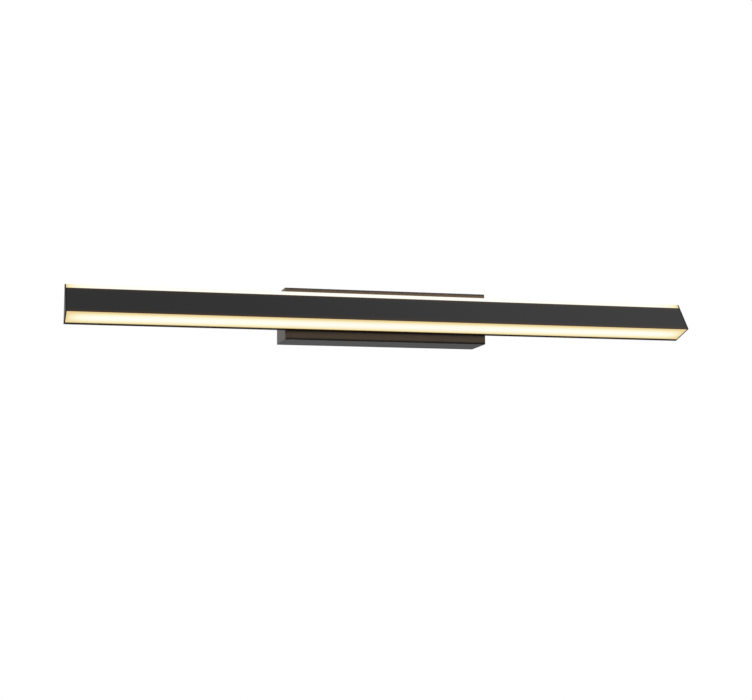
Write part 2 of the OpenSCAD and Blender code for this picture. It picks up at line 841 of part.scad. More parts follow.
// Two rounded ends of a slot along X, cut through the sheet
module slot(x, z, length, r) {
    for (end = [-1, 1])
        translate([x + end * (length / 2 - r), eps, z])
            rotate([90, 0, 0])
                cylinder(r = r, h = bracket_t + 2 * eps);
    block([x - length / 2 + r, -bracket_t - eps, z - r], [x + length / 2 - r, eps, z + r]);
}

// Pressed steel bracket on the wall box, with ears for the canopy and a stiffening flange
module wall_bracket() {
    color([0.75, 0.75, 0.76])
    difference() {
        union() {
            block([-bracket_w / 2, -bracket_t, -bracket_h / 2], [bracket_w / 2, 0, bracket_h / 2]);
            for (x = [-ear_x, ear_x])
                block([x - ear_w / 2, -ear_depth, bracket_h / 2 - bracket_t],
                      [x + ear_w / 2, 0, bracket_h / 2]);
            block([-bracket_w / 2, -flange_depth, -bracket_h / 2],
                  [bracket_w / 2, 0, -bracket_h / 2 + bracket_t]);
        }
        block([-window_w / 2, -bracket_t - eps, -window_h / 2], [window_w / 2, eps, window_h / 2]);
        for (side = [-1, 1])
            slot(side * slot_spacing / 2, 0, slot_length, slot_r);
        for (x = [-ear_x, ear_x])
            translate([x, ear_hole_y, bracket_h / 2 - bracket_t - eps])
                cylinder(r = screw_r, h = bracket_t + 2 * eps);
        translate([ground_x, eps, ground_z])
            rotate([90, 0, 0])
                cylinder(r = screw_r, h = bracket_t + 2 * eps);
        at_driver_screws()
            translate([0, 0, -eps])
                cylinder(r = small_screw_r, h = bracket_t + 2 * eps);
    }
}

// Axes of the driver's screws, starting on the wall plane and pointing out of the wall
module at_driver_screws() {
    for (side = [-1, 1])
        translate([
            (driver_x0 + driver_x1) / 2 + side * (driver_length + driver_ear.x) / 2, 0,
            -side * (driver_height - driver_ear.y) / 2
        ])
            rotate([90, 0, 0])
                children();
}

module ground_screw() {
    color([0.1, 0.5, 0.2])
    translate([ground_x, -bracket_t - terminal_ring_t, ground_z])
        rotate([90, 0, 0])
            difference() {
                union() {
                    translate([0, 0, -terminal_ring_t - bracket_t + 0.2])
                        cylinder(r = screw_r, h = terminal_ring_t + bracket_t);
                    cylinder(r = head_r, h = 1);
                    cylinder(r = nut_flats / sqrt(3) * 0.9, h = head_h + 0.8, $fn = 6);
                }
                translate([-head_r, -0.5, head_h])
                    cube([2 * head_r, 1, 1]);
            }
}

// Ring terminal under the ground screw, with the barrel that holds the ground lead
module ground_terminal() {
    color([0.8, 0.65, 0.35])
    difference() {
        union() {
            translate([ground_x, -bracket_t, ground_z])
                rotate([90, 0, 0])
                    cylinder(r = washer_r, h = terminal_ring_t);
            block([ground_x - tongue_reach, -bracket_t - terminal_ring_t, ground_z - tongue_half],
                  [ground_x, -bracket_t, ground_z + tongue_half]);
            translate([ground_x - barrel_start, -bracket_t - terminal_ring_t / 2 - supply_r, ground_z])
                rotate([0, 90, 0])
                    cylinder(r = supply_r + barrel_t, h = barrel_length);
        }
        translate([ground_x, -bracket_t + eps, ground_z])
            rotate([90, 0, 0])
                cylinder(r = screw_r, h = terminal_ring_t + 2 * eps);
    }
}

// Open tray of the driver, with two ears, four board posts and two lead holes
module driver_case() {
    color([0.92, 0.92, 0.9])
    difference() {
        union() {
            block([driver_x0, driver_front + driver_t, -driver_height / 2],
                  [driver_x1, driver_back, driver_height / 2]);
            for (side = [-1, 1])
                translate([
                    (driver_x0 + driver_x1) / 2 + side * (driver_length + driver_ear.x) / 2,
                    driver_back - driver_t / 2, -side * (driver_height - driver_ear.y) / 2
                ])
                    cube([driver_ear.x + eps, driver_t, driver_ear.y], center = true);
        }
        difference() {
            block([driver_x0 + driver_t, driver_front - 1, -driver_height / 2 + driver_t],
                  [driver_x1 - driver_t, driver_back - driver_t, driver_height / 2 - driver_t]);
            for (x = [driver_x0 + post_inset.x, driver_x1 - post_inset.x], z = [-1, 1])
                translate([x, driver_back - driver_t + eps, z * (driver_height / 2 - post_inset.y)])
                    rotate([90, 0, 0])
                        cylinder(r = post_r, h = post_length + eps);
        }
        for (z = [-terminal_z, terminal_z])
            translate([driver_x0 - eps, terminal_y, z])
                rotate([0, 90, 0])
                    cylinder(r = lead_hole_r, h = driver_t + 2 * eps);
        at_driver_screws()
            cylinder(r = small_screw_r + screw_clear, h = bracket_t + driver_t + eps);
    }
}

module driver_lid() {
    color([0.9, 0.9, 0.88]) {
        block([driver_x0, driver_front, -driver_height / 2],
              [driver_x1, driver_front + driver_t, driver_height / 2]);
        for (side = [0, 1])
            mirror([0, 0, side])
                translate([driver_x0 + driver_inset, driver_front + driver_t - eps,
                           driver_height / 2 - driver_inset - lid_rib.x])
                    cube([driver_length - 2 * driver_inset, lid_rib.y + eps, lid_rib.x]);
    }
}

module driver_screws() {
    color([0.72, 0.72, 0.72])
    at_driver_screws()
        translate([0, 0, bracket_t + driver_t])
            socket_screw(small_screw_r, bracket_t + driver_t - tip_gap, small_head_r, small_head_h);
}

module driver_board() {
    color([0.1, 0.42, 0.24])
    block([driver_x0 + driver_inset, driver_board_front, -driver_height / 2 + driver_inset],
          [driver_x1 - driver_inset, driver_board_back, driver_height / 2 - driver_inset]);
}

// Wound core of the driver: two ferrite cheeks and the taped coil between them
module driver_transformer() {
    color([0.85, 0.75, 0.3])
    translate([(driver_x0 + driver_x1) / 2 + core_shift, driver_board_front, 0])
        union() {
            for (x = [-core_size.x / 2, core_size.x / 2 - cheek_t])
                translate([x, -core_size.y, -core_size.z / 2])
                    cube([cheek_t, core_size.y, core_size.z]);
            translate([-core_size.x / 2 + cheek_t - eps, -core_size.y + coil_inset.x,
                       -core_size.z / 2 + coil_inset.y])
                cube([core_size.x - 2 * cheek_t + 2 * eps, core_size.y - 2 * coil_inset.x,
                      core_size.z - 2 * coil_inset.y]);
        }
}

module driver_capacitors() {
    color([0.15, 0.2, 0.3])
    for (z = [-can_z, can_z])
        translate([driver_x1 - can_end_gap, driver_board_front, z])
            rotate([90, 0, 0])
                cylinder(r = can_r, h = can_length);
}

module driver_terminals() {
    color([0.2, 0.55, 0.3])
    for (z = [-terminal_z, terminal_z])
        block([terminal_x, driver_board_front - terminal_size.y, z - terminal_size.z / 2],
              [terminal_x + terminal_size.x, driver_board_front, z + terminal_size.z / 2]);
}

module line_lead() {
    color([0.08, 0.08, 0.08])
    tube(line_route(1.5, 0), supply_r);
}

module neutral_lead() {
    color([0.95, 0.95, 0.93])
    tube(line_route(-1.5, 1), supply_r);
}

module ground_lead() {
    color([0.1, 0.5, 0.2])
    tube(ground_route, supply_r);
}

module upper_board_leads() {
    color([0.75, 0.1, 0.1])
    for (wire = [-lead_half, lead_half])
        tube(led_route(1, 1, upper_seat, wire), led_lead_r);
}

module lower_board_leads() {
    color([0.15, 0.15, 0.15])
    for (wire = [-lead_half, lead_half])
        tube(led_route(-1, -1, lower_seat, wire), led_lead_r);
}

// Twist-on connectors where the supply leads meet the house wiring
module wire_connectors() {
    color([0.85, 0.35, 0.1])
    for (z = connector_z)
        translate([connector_x, connector_y, z])
            rotate([0, -90, 0])
                difference() {
                    cylinder(r1 = connector_r[0], r2 = connector_r[1], h = connector_length);
                    translate([0, 0, -eps])
                        cylinder(r = mouth_r, h = mouth_depth + eps);
                }
}

spine();
front_plate();
top_lens();
bottom_lens();
upper_led_board();
lower_led_board();
upper_leds();
lower_leds();
board_screws();
board_connectors();
left_end_cap();
right_end_cap();
left_end_gasket();
right_end_gasket();
end_cap_screws();
saddle();
bar_screws();
bar_nuts();
saddle_screws();
wire_grommet();
canopy();
canopy_screws();
wall_bracket();
ground_screw();
ground_terminal();
driver_case();
driver_lid();
driver_screws();
driver_board();
driver_transformer();
driver_capacitors();
driver_terminals();
line_lead();
neutral_lead();
ground_lead();
upper_board_leads();
lower_board_leads();
wire_connectors();
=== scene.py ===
"""Vanity light bar: the finished visual model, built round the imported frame.

Metres. X runs along the bar, Y runs into the wall and Z is up. The origin is on the wall plane,
at the centre of the canopy's open back.
"""

import logging
import math
from dataclasses import dataclass, field, replace
from enum import Enum
from typing import Callable, Sequence

import bmesh
import bpy
from mathutils import Matrix, Vector


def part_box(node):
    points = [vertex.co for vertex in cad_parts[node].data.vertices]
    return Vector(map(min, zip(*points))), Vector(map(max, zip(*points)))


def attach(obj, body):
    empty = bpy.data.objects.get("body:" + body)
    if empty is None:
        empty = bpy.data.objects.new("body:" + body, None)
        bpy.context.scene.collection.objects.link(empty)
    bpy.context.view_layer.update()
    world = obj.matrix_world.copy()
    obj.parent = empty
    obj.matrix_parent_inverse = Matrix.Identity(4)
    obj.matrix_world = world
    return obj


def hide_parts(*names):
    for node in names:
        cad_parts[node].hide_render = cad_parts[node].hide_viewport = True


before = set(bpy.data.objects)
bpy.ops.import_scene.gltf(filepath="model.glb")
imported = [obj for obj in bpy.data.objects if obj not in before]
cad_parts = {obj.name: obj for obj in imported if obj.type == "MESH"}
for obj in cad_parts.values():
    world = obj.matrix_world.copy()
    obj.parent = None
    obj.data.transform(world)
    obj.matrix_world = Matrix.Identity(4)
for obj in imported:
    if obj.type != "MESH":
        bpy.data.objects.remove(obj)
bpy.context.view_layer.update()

log = logging.getLogger("light_bar")

MM = 0.001
WELD = 0.001 * MM
BODY = "root"
Colour = tuple[float, float, float]
Triple = tuple[float, float, float]
Profile = list[tuple[float, float]]


def tone(red: int, green: int, blue: int) -> Colour:
    """Turns a display colour into the linear colour that shaders use.

    Args:
        red: Red, 0 to 255.
        green: Green, 0 to 255.
        blue: Blue, 0 to 255.

    Returns:
        The three linear channels, 0 to 1.
    """
    def channel(value: int) -> float:
        """Turns one channel."""
        share = value / 255
        return share / 12.92 if share <= 0.04045 else ((share + 0.055) / 1.055) ** 2.4

    return channel(red), channel(green), channel(blue)


def scaled(colour: Colour, by: float) -> Colour:
    """Returns the colour made darker or lighter by a factor."""
    return tuple(min(1.0, channel * by) for channel in colour)


# ---------------------------------------------------------------- shader maths

class Term:
    """A shader value that is used in plain arithmetic, which adds Math nodes."""

    def __init__(self, recipe: "Recipe", socket: bpy.types.NodeSocket) -> None:
        """Holds a socket of the recipe's tree."""
        self.recipe = recipe
        self.socket = socket

    def _math(self, operation: str, *values: "Term | float") -> "Term":
        """Adds one Math node on the given values."""
        made = self.recipe.node("ShaderNodeMath", {"operation": operation}, dict(enumerate(values)))
        return Term(self.recipe, made.outputs[0])

    def __add__(self, other: "Term | float") -> "Term":
        """Sum."""
        return self._math("ADD", self, other)

    __radd__ = __add__

    def __sub__(self, other: "Term | float") -> "Term":
        """Difference."""
        return self._math("SUBTRACT", self, other)

    def __rsub__(self, other: float) -> "Term":
        """Difference from a number."""
        return self._math("SUBTRACT", other, self)

    def __mul__(self, other: "Term | float") -> "Term":
        """Product."""
        return self._math("MULTIPLY", self, other)

    __rmul__ = __mul__

    def __truediv__(self, other: float) -> "Term":
        """Quotient."""
        return self._math("DIVIDE", self, other)

    def __pow__(self, power: float) -> "Term":
        """Power."""
        return self._math("POWER", self, power)

    def __abs__(self) -> "Term":
        """Size without its sign."""
        return self._math("ABSOLUTE", self)

    def exp(self) -> "Term":
        """The natural exponential."""
        return self._math("EXPONENT", self)

    def cosine(self) -> "Term":
        """The cosine of an angle in radians."""
        return self._math("COSINE", self)

    def at_most(self, limit: float) -> "Term":
        """The value, or the limit where the value is above it."""
        return self._math("MINIMUM", self, limit)

    def at_least(self, limit: float) -> "Term":
        """The value, or the limit where the value is below it."""
        return self._math("MAXIMUM", self, limit)

    def wave(self, pitch: float) -> "Term":
        """A cosine wave from 0 to 1 that repeats every pitch."""
        return (self * (2 * math.pi / pitch)).cosine() * 0.5 + 0.5

    def step(self, low: float, high: float) -> "Term":
        """Rises smoothly from 0 at low to 1 at high."""
        made = self.recipe.node(
            "ShaderNodeMapRange", {"interpolation_type": "SMOOTHSTEP"}, {0: self, 1: low, 2: high})
        return Term(self.recipe, made.outputs[0])


class Recipe:
    """The node tree of one material or of the world."""

    MIX_LOW, MIX_HIGH, MIX_RESULT = 6, 7, 2

    def __init__(self, owner: "bpy.types.Material | bpy.types.World") -> None:
        """Empties the owner's node tree."""
        self.owner = owner
        owner.use_nodes = True
        self.tree = owner.node_tree
        self.tree.nodes.clear()

    def node(self, kind: str, settings: dict | None = None, inputs: dict | None = None) -> bpy.types.Node:
        """Adds a node.

        Args:
            kind: The node's type.
            settings: Its settings, which are set first. "stops" is a ramp's list of (place, colour).
            inputs: A value or a link for each of its sockets, by name or number.

        Returns:
            The new node.
        """
        made = self.tree.nodes.new(kind)
        for name, value in (settings or {}).items():
            if name == "stops":
                self._set_stops(made.color_ramp, value)
            else:
                setattr(made, name, value)
        for key, value in (inputs or {}).items():
            source = value.socket if isinstance(value, Term) else value
            if isinstance(source, bpy.types.NodeSocket):
                self.tree.links.new(source, made.inputs[key])
            else:
                made.inputs[key].default_value = source
        return made

    @staticmethod
    def _set_stops(ramp: bpy.types.ColorRamp, stops: Sequence[tuple[float, Colour]]) -> None:
        """Gives a ramp its stops."""
        while len(ramp.elements) < len(stops):
            ramp.elements.new(1.0)
        for element, (place, colour) in zip(ramp.elements, stops):
            element.position = place
            element.color = (*colour, 1)

    def place(self, stretch: Triple = (1, 1, 1), centre: Sequence[float] = (0, 0, 0)) -> bpy.types.NodeSocket:
        """The point on the object, moved so that centre is at zero and then stretched."""
        point = self.node("ShaderNodeTexCoord").outputs["Object"]
        shift = tuple(-c * s for c, s in zip(centre, stretch))
        made = self.node("ShaderNodeMapping", None, {"Vector": point, "Location": shift, "Scale": stretch})
        return made.outputs[0]

    def axes(self, centre: Sequence[float] = (0, 0, 0)) -> list[Term]:
        """The X, Y and Z of the point on the object, measured from centre."""
        return self.parts(self.place(centre=centre))

    def parts(self, vector: bpy.types.NodeSocket) -> list[Term]:
        """The X, Y and Z of a vector."""
        split = self.node("ShaderNodeSeparateXYZ", None, {0: vector})
        return [Term(self, output) for output in split.outputs]

    def noise(self, scale: float, detail: float = 2, rough: float = 0.5, stretch: Triple = (1, 1, 1)) -> Term:
        """Soft noise from 0 to 1, with features about 1/scale metres across."""
        made = self.node("ShaderNodeTexNoise", None, {
            "Vector": self.place(stretch), "Scale": scale, "Detail": detail, "Roughness": rough})
        return Term(self, made.outputs[0])

    def cells(self, scale: float, stretch: Triple = (1, 1, 1)) -> Term:
        """Distance to the nearest of scattered points, about 1/scale metres apart."""
        made = self.node("ShaderNodeTexVoronoi", None, {"Vector": self.place(stretch), "Scale": scale})
        return Term(self, made.outputs[0])

    def ramp(self, factor: Term, stops: Sequence[tuple[float, Colour]]) -> bpy.types.NodeSocket:
        """The colour at factor along the stops."""
        return self.node("ShaderNodeValToRGB", {"stops": stops}, {0: factor}).outputs[0]

    def mix(self, factor: Term, low: "Colour | bpy.types.NodeSocket",
            high: "Colour | bpy.types.NodeSocket") -> bpy.types.NodeSocket:
        """Mixes two colours: low where the factor is 0 and high where it is 1."""
        ends = [c if isinstance(c, bpy.types.NodeSocket) else (*c, 1) for c in (low, high)]
        sockets = {0: factor, self.MIX_LOW: ends[0], self.MIX_HIGH: ends[1]}
        made = self.node("ShaderNodeMix", {"data_type": "RGBA"}, sockets)
        return made.outputs[self.MIX_RESULT]

    def bump(self, height: Term, depth: float, strength: float = 1.0) -> bpy.types.NodeSocket:
        """A normal that follows a height from 0 to 1, whose full depth is in metres."""
        made = self.node("ShaderNodeBump", None, {"Height": height, "Distance": depth, "Strength": strength})
        return made.outputs[0]

    def surface(self, **sockets: "Term | bpy.types.NodeSocket | float | tuple") -> bpy.types.Material:
        """Ends the recipe with a Principled surface.

        Args:
            **sockets: The shader's sockets, in lower case with underscores for spaces.

        Returns:
            The finished material.
        """
        shader = self.node("ShaderNodeBsdfPrincipled")
        names = {socket.name.lower().replace(" ", "_"): socket.name for socket in shader.inputs}
        for key, value in sockets.items():
            target = shader.inputs[names[key]]
            source = value.socket if isinstance(value, Term) else value
            if isinstance(source, bpy.types.NodeSocket):
                self.tree.links.new(source, target)
            elif isinstance(source, tuple):
                target.default_value = (*source, 1)
            else:
                target.default_value = source
        self.node("ShaderNodeOutputMaterial", None, {"Surface": shader.outputs[0]})
        return self.owner


# ---------------------------------------------------------------- finishes

@dataclass(frozen=True)
class Finish:
    """A surface finish, made once and shared by every piece that wears it."""

    label: str

    def material(self) -> bpy.types.Material:
        """The finish as a material, made the first time it is asked for."""
        return bpy.data.materials.get(self.label) or self.shade(Recipe(bpy.data.materials.new(self.label)))

    def shade(self, recipe: Recipe) -> bpy.types.Material:
        """Makes the finish's nodes."""
        raise NotImplementedError


@dataclass(frozen=True)
class LitFinish(Finish):
    """A finish with a glow painted beside the lit lenses, for the light that strays onto it."""

    edges: tuple[tuple[float, float], ...] = field(default=(), kw_only=True)
    reach: float = field(default=1.6 * MM, kw_only=True)
    stray: Colour = field(default=(0.05, 0.017, 0.001), kw_only=True)

    def stray_light(self, recipe: Recipe) -> dict:
        """The surface's emission: warm light that fades away from edges given by their (Y, Z)."""
        if not self.edges:
            return {}
        light = None
        for edge in self.edges:
            _, y, z = recipe.axes((0, *edge))
            near = (((y * y + z * z) ** 0.5) / -self.reach).exp()
            light = near if light is None else light + near
        return {"emission_color": recipe.mix(light, (0.0, 0.0, 0.0), self.stray), "emission_strength": 1.0}


@dataclass(frozen=True)
class PowderCoat(LitFinish):
    """Dark powder coat: fine orange peel, metallic flecks and slightly uneven gloss, with a warm glow painted
    as emission beside given edges.
    """

    colour: Colour
    rough: float = 0.5
    specular: float = 0.4
    peel: float = 700.0
    peel_depth: float = 0.02 * MM

    def shade(self, recipe: Recipe) -> bpy.types.Material:
        """Makes the finish's nodes."""
        fine = recipe.noise(self.peel, 3, 0.55)
        broad = recipe.noise(9, 3)
        fleck = (1 - recipe.cells(2600)).step(0.86, 0.97)
        tint = recipe.mix(fine * 0.35 + broad * 0.5, scaled(self.colour, 0.8), scaled(self.colour, 1.2))
        return recipe.surface(
            base_color=recipe.mix(fleck * 0.22, tint, scaled(self.colour, 3.0)),
            roughness=self.rough + fine * 0.1 - broad * 0.06,
            specular_ior_level=self.specular,
            normal=recipe.bump(fine, self.peel_depth, 0.6),
            **self.stray_light(recipe))


@dataclass(frozen=True)
class SatinPaint(LitFinish):
    """Smooth satin paint on an extrusion, with faint drawing lines along it, and a warm glow painted as
    emission beside given edges.
    """

    colour: Colour
    rough: float = 0.38
    specular: float = 0.5

    def shade(self, recipe: Recipe) -> bpy.types.Material:
        """Makes the finish's nodes."""
        drawn = recipe.noise(1500, 2, 0.5, (0.004, 1, 1))
        cloud = recipe.noise(6, 3, 0.55, (0.4, 1, 1))
        dust = recipe.noise(2600, 1)
        tint = cloud * 0.7 + drawn * 0.3
        return recipe.surface(
            base_color=recipe.mix(tint, scaled(self.colour, 0.85), scaled(self.colour, 1.15)),
            roughness=self.rough + cloud * 0.05 + drawn * 0.03,
            specular_ior_level=self.specular,
            normal=recipe.bump(drawn * 0.6 + dust * 0.4, 0.004 * MM, 0.5),
            **self.stray_light(recipe))


@dataclass(frozen=True)
class LitLens(Finish):
    """Opal lens lit from inside: white in its middle, and warmer towards its edges and its ends."""

    start: tuple[float, float]
    along: tuple[float, float]
    middle: float
    half: float
    bar_half: float
    led_pitch: float = 15 * MM
    edge: float = 1.0
    end_fade: float = 14 * MM
    heart: Colour = tone(253, 251, 241)
    stops: tuple[tuple[float, Colour], ...] = (
        (0.25, tone(252, 248, 229)), (0.5, tone(249, 242, 208)), (0.75, tone(244, 230, 181)),
        (1.0, tone(231, 206, 146)))

    def shade(self, recipe: Recipe) -> bpy.types.Material:
        """Makes the finish's nodes."""
        x, y, z = recipe.axes((0, *self.start))
        across = y * self.along[0] + z * self.along[1]
        off_middle = (abs(across - self.middle) / self.half).at_most(1.2) ** 1.35 * self.edge
        to_end = (self.bar_half - abs(x)).at_least(0)
        off_end = (to_end / -self.end_fade).exp()
        warmth = 1 - (1 - off_middle).at_least(0) * (1 - off_end)
        ripple = (1 - x.wave(self.led_pitch)) * 0.02
        cloud = recipe.noise(60, 2) * 0.02
        grain = recipe.noise(3000, 2)
        return recipe.surface(
            base_color=recipe.mix(grain, (0.10, 0.095, 0.08), (0.12, 0.115, 0.1)),
            roughness=0.42 + grain * 0.08,
            specular_ior_level=0.4,
            emission_color=recipe.ramp(warmth + ripple + cloud, ((0.0, self.heart), *self.stops)),
            emission_strength=1.0,
            normal=recipe.bump(grain, 0.004 * MM, 0.4))


@dataclass(frozen=True)
class Plated(Finish):
    """Plated or oxide-coated metal, with fine scratches and a clouded tint."""

    colour: Colour
    cloud_colour: Colour
    rough: float = 0.3
    metallic: float = 1.0
    stretch: Triple = (1, 1, 1)

    def shade(self, recipe: Recipe) -> bpy.types.Material:
        """Makes the finish's nodes."""
        cloud = recipe.noise(70, 3, 0.6)
        scratch = recipe.noise(900, 3, 0.65, self.stretch)
        spangle = recipe.cells(420).step(0.1, 0.7)
        return recipe.surface(
            base_color=recipe.mix(cloud.step(0.35, 0.68), self.colour, self.cloud_colour),
            metallic=self.metallic,
            roughness=self.rough + scratch * 0.12 + spangle * 0.05,
            normal=recipe.bump(scratch * 0.7 + spangle * 0.3, 0.006 * MM, 0.5))


@dataclass(frozen=True)
class Moulded(Finish):
    """Moulded or extruded plastic and rubber: spark-etched grain and soft flow marks."""

    colour: Colour
    rough: float = 0.45
    specular: float = 0.5
    grain: float = 1800.0
    grain_depth: float = 0.012 * MM
    coat: float = 0.0

    def shade(self, recipe: Recipe) -> bpy.types.Material:
        """Makes the finish's nodes."""
        spark = recipe.noise(self.grain, 2, 0.6)
        flow = recipe.noise(45, 2, 0.5, (0.5, 1, 1))
        tint = flow * 0.7 + spark * 0.3
        return recipe.surface(
            base_color=recipe.mix(tint, scaled(self.colour, 0.88), scaled(self.colour, 1.08)),
            roughness=self.rough + spark * 0.12 - flow * 0.05,
            specular_ior_level=self.specular,
            coat_weight=self.coat,
            normal=recipe.bump(spark, self.grain_depth, 0.6))


@dataclass(frozen=True)
class SolderMask(Finish):
    """Circuit board: glossy mask over tracks, with bare pads."""

    colour: Colour
    track_colour: Colour
    pitch: float
    centre: tuple[float, float, float] = (0, 0, 0)

    def shade(self, recipe: Recipe) -> bpy.types.Material:
        """Makes the finish's nodes."""
        x, y, z = recipe.axes(self.centre)
        rails = z.wave(self.pitch / 3).step(0.3, 0.36)
        rungs = x.wave(self.pitch).step(0.12, 0.16)
        track = rails * rungs
        pad = (1 - recipe.cells(1 / self.pitch)).step(0.93, 0.96)
        weave = recipe.noise(1200, 2)
        mask = recipe.mix(track, scaled(self.colour, 0.8), self.colour)
        return recipe.surface(
            base_color=recipe.mix(pad, mask, self.track_colour),
            metallic=pad * 0.9,
            roughness=0.28 + weave * 0.1,
            coat_weight=0.3,
            normal=recipe.bump(track * 0.7 + weave * 0.3, 0.03 * MM, 0.5))


@dataclass(frozen=True)
class Phosphor(Finish):
    """LED packages: yellow phosphor gel in a white reflector cup."""

    pitch: float

    def shade(self, recipe: Recipe) -> bpy.types.Material:
        """Makes the finish's nodes."""
        x, _, _ = recipe.axes((self.pitch / 2, 0, 0))
        cup = (1 - x.wave(self.pitch)).step(0.12, 0.2)
        gel = recipe.noise(2200, 2)
        colour = recipe.mix(cup, recipe.mix(gel, (0.95, 0.72, 0.12), (0.98, 0.82, 0.25)), (0.9, 0.9, 0.88))
        return recipe.surface(
            base_color=colour,
            roughness=0.25 + gel * 0.15,
            emission_color=recipe.mix(cup, (1.0, 0.85, 0.5), (0.7, 0.62, 0.4)),
            emission_strength=1.0,
            normal=recipe.bump(gel, 0.01 * MM, 0.4))


@dataclass(frozen=True)
class WoundCore(Finish):
    """Ferrite cheeks with a coil of overlapping yellow tape between them."""

    centre: tuple[float, float, float]
    coil_half: float = 7 * MM
    tape_width: float = 2.4 * MM

    def shade(self, recipe: Recipe) -> bpy.types.Material:
        """Makes the finish's nodes."""
        x, _, _ = recipe.axes(self.centre)
        ferrite = abs(x).step(self.coil_half - 0.05 * MM, self.coil_half + 0.05 * MM)
        lap = x.wave(self.tape_width)
        grain = recipe.noise(1500, 3)
        tape = recipe.mix(lap * 0.6 + grain * 0.4, (0.62, 0.42, 0.05), (0.85, 0.66, 0.14))
        return recipe.surface(
            base_color=recipe.mix(ferrite, tape, recipe.mix(grain, (0.03, 0.03, 0.032), (0.07, 0.068, 0.07))),
            roughness=0.3 + ferrite * 0.35 + grain * 0.08,
            normal=recipe.bump(lap * 0.6 + grain * 0.4, 0.05 * MM, 0.6))


@dataclass(frozen=True)
class StudioFloor(Finish):
    """Plain pale studio floor."""

    colour: Colour = (0.82, 0.82, 0.81)
    glow: float = 0.5

    def shade(self, recipe: Recipe) -> bpy.types.Material:
        """Makes the finish's nodes."""
        grain = recipe.noise(60, 3)
        paint = recipe.mix(grain, scaled(self.colour, 0.97), scaled(self.colour, 1.02))
        return recipe.surface(
            base_color=paint, roughness=0.7 + grain * 0.1, specular_ior_level=0.2,
            emission_color=paint, emission_strength=self.glow)


class Paint(Enum):
    """The finishes that don't depend on a piece's place."""

    BAR = PowderCoat("bar_coat", (0.030, 0.029, 0.028))
    CANOPY = PowderCoat("canopy_coat", (0.048, 0.046, 0.045))
    ZINC = Plated("bright_zinc", (0.62, 0.63, 0.64), (0.55, 0.57, 0.62), 0.28)
    SHEET_ZINC = Plated("sheet_zinc", (0.58, 0.59, 0.60), (0.50, 0.51, 0.54), 0.36, 1.0, (0.08, 1, 1))
    OXIDE = Plated("black_oxide", (0.035, 0.034, 0.034), (0.055, 0.052, 0.05), 0.38, 0.6)
    GREEN = Plated("green_zinc", (0.05, 0.33, 0.14), (0.08, 0.42, 0.2), 0.3, 0.8)
    BRASS = Plated("tinned_brass", (0.72, 0.62, 0.40), (0.66, 0.60, 0.48), 0.32)
    RUBBER = Moulded("black_silicone", (0.022, 0.022, 0.023), 0.62, 0.3)
    WHITE = Moulded("white_moulding", (0.78, 0.78, 0.75), 0.42)
    SLEEVE = Moulded("capacitor_sleeve", (0.03, 0.05, 0.11), 0.24, 0.5, 500.0, 0.01 * MM, 0.4)
    GREEN_BLOCK = Moulded("green_terminal_block", (0.06, 0.32, 0.13), 0.4)
    BLACK_WIRE = Moulded("black_insulation", (0.02, 0.02, 0.021), 0.36)
    WHITE_WIRE = Moulded("white_insulation", (0.75, 0.75, 0.72), 0.36)
    GREEN_WIRE = Moulded("green_insulation", (0.03, 0.26, 0.08), 0.36)
    RED_WIRE = Moulded("red_insulation", (0.5, 0.03, 0.02), 0.36)
    ORANGE = Moulded("orange_cap", (0.75, 0.17, 0.02), 0.3, 0.5, 1200.0, 0.015 * MM, 0.3)
    FLOOR = StudioFloor("studio_floor")


# ---------------------------------------------------------------- shapes

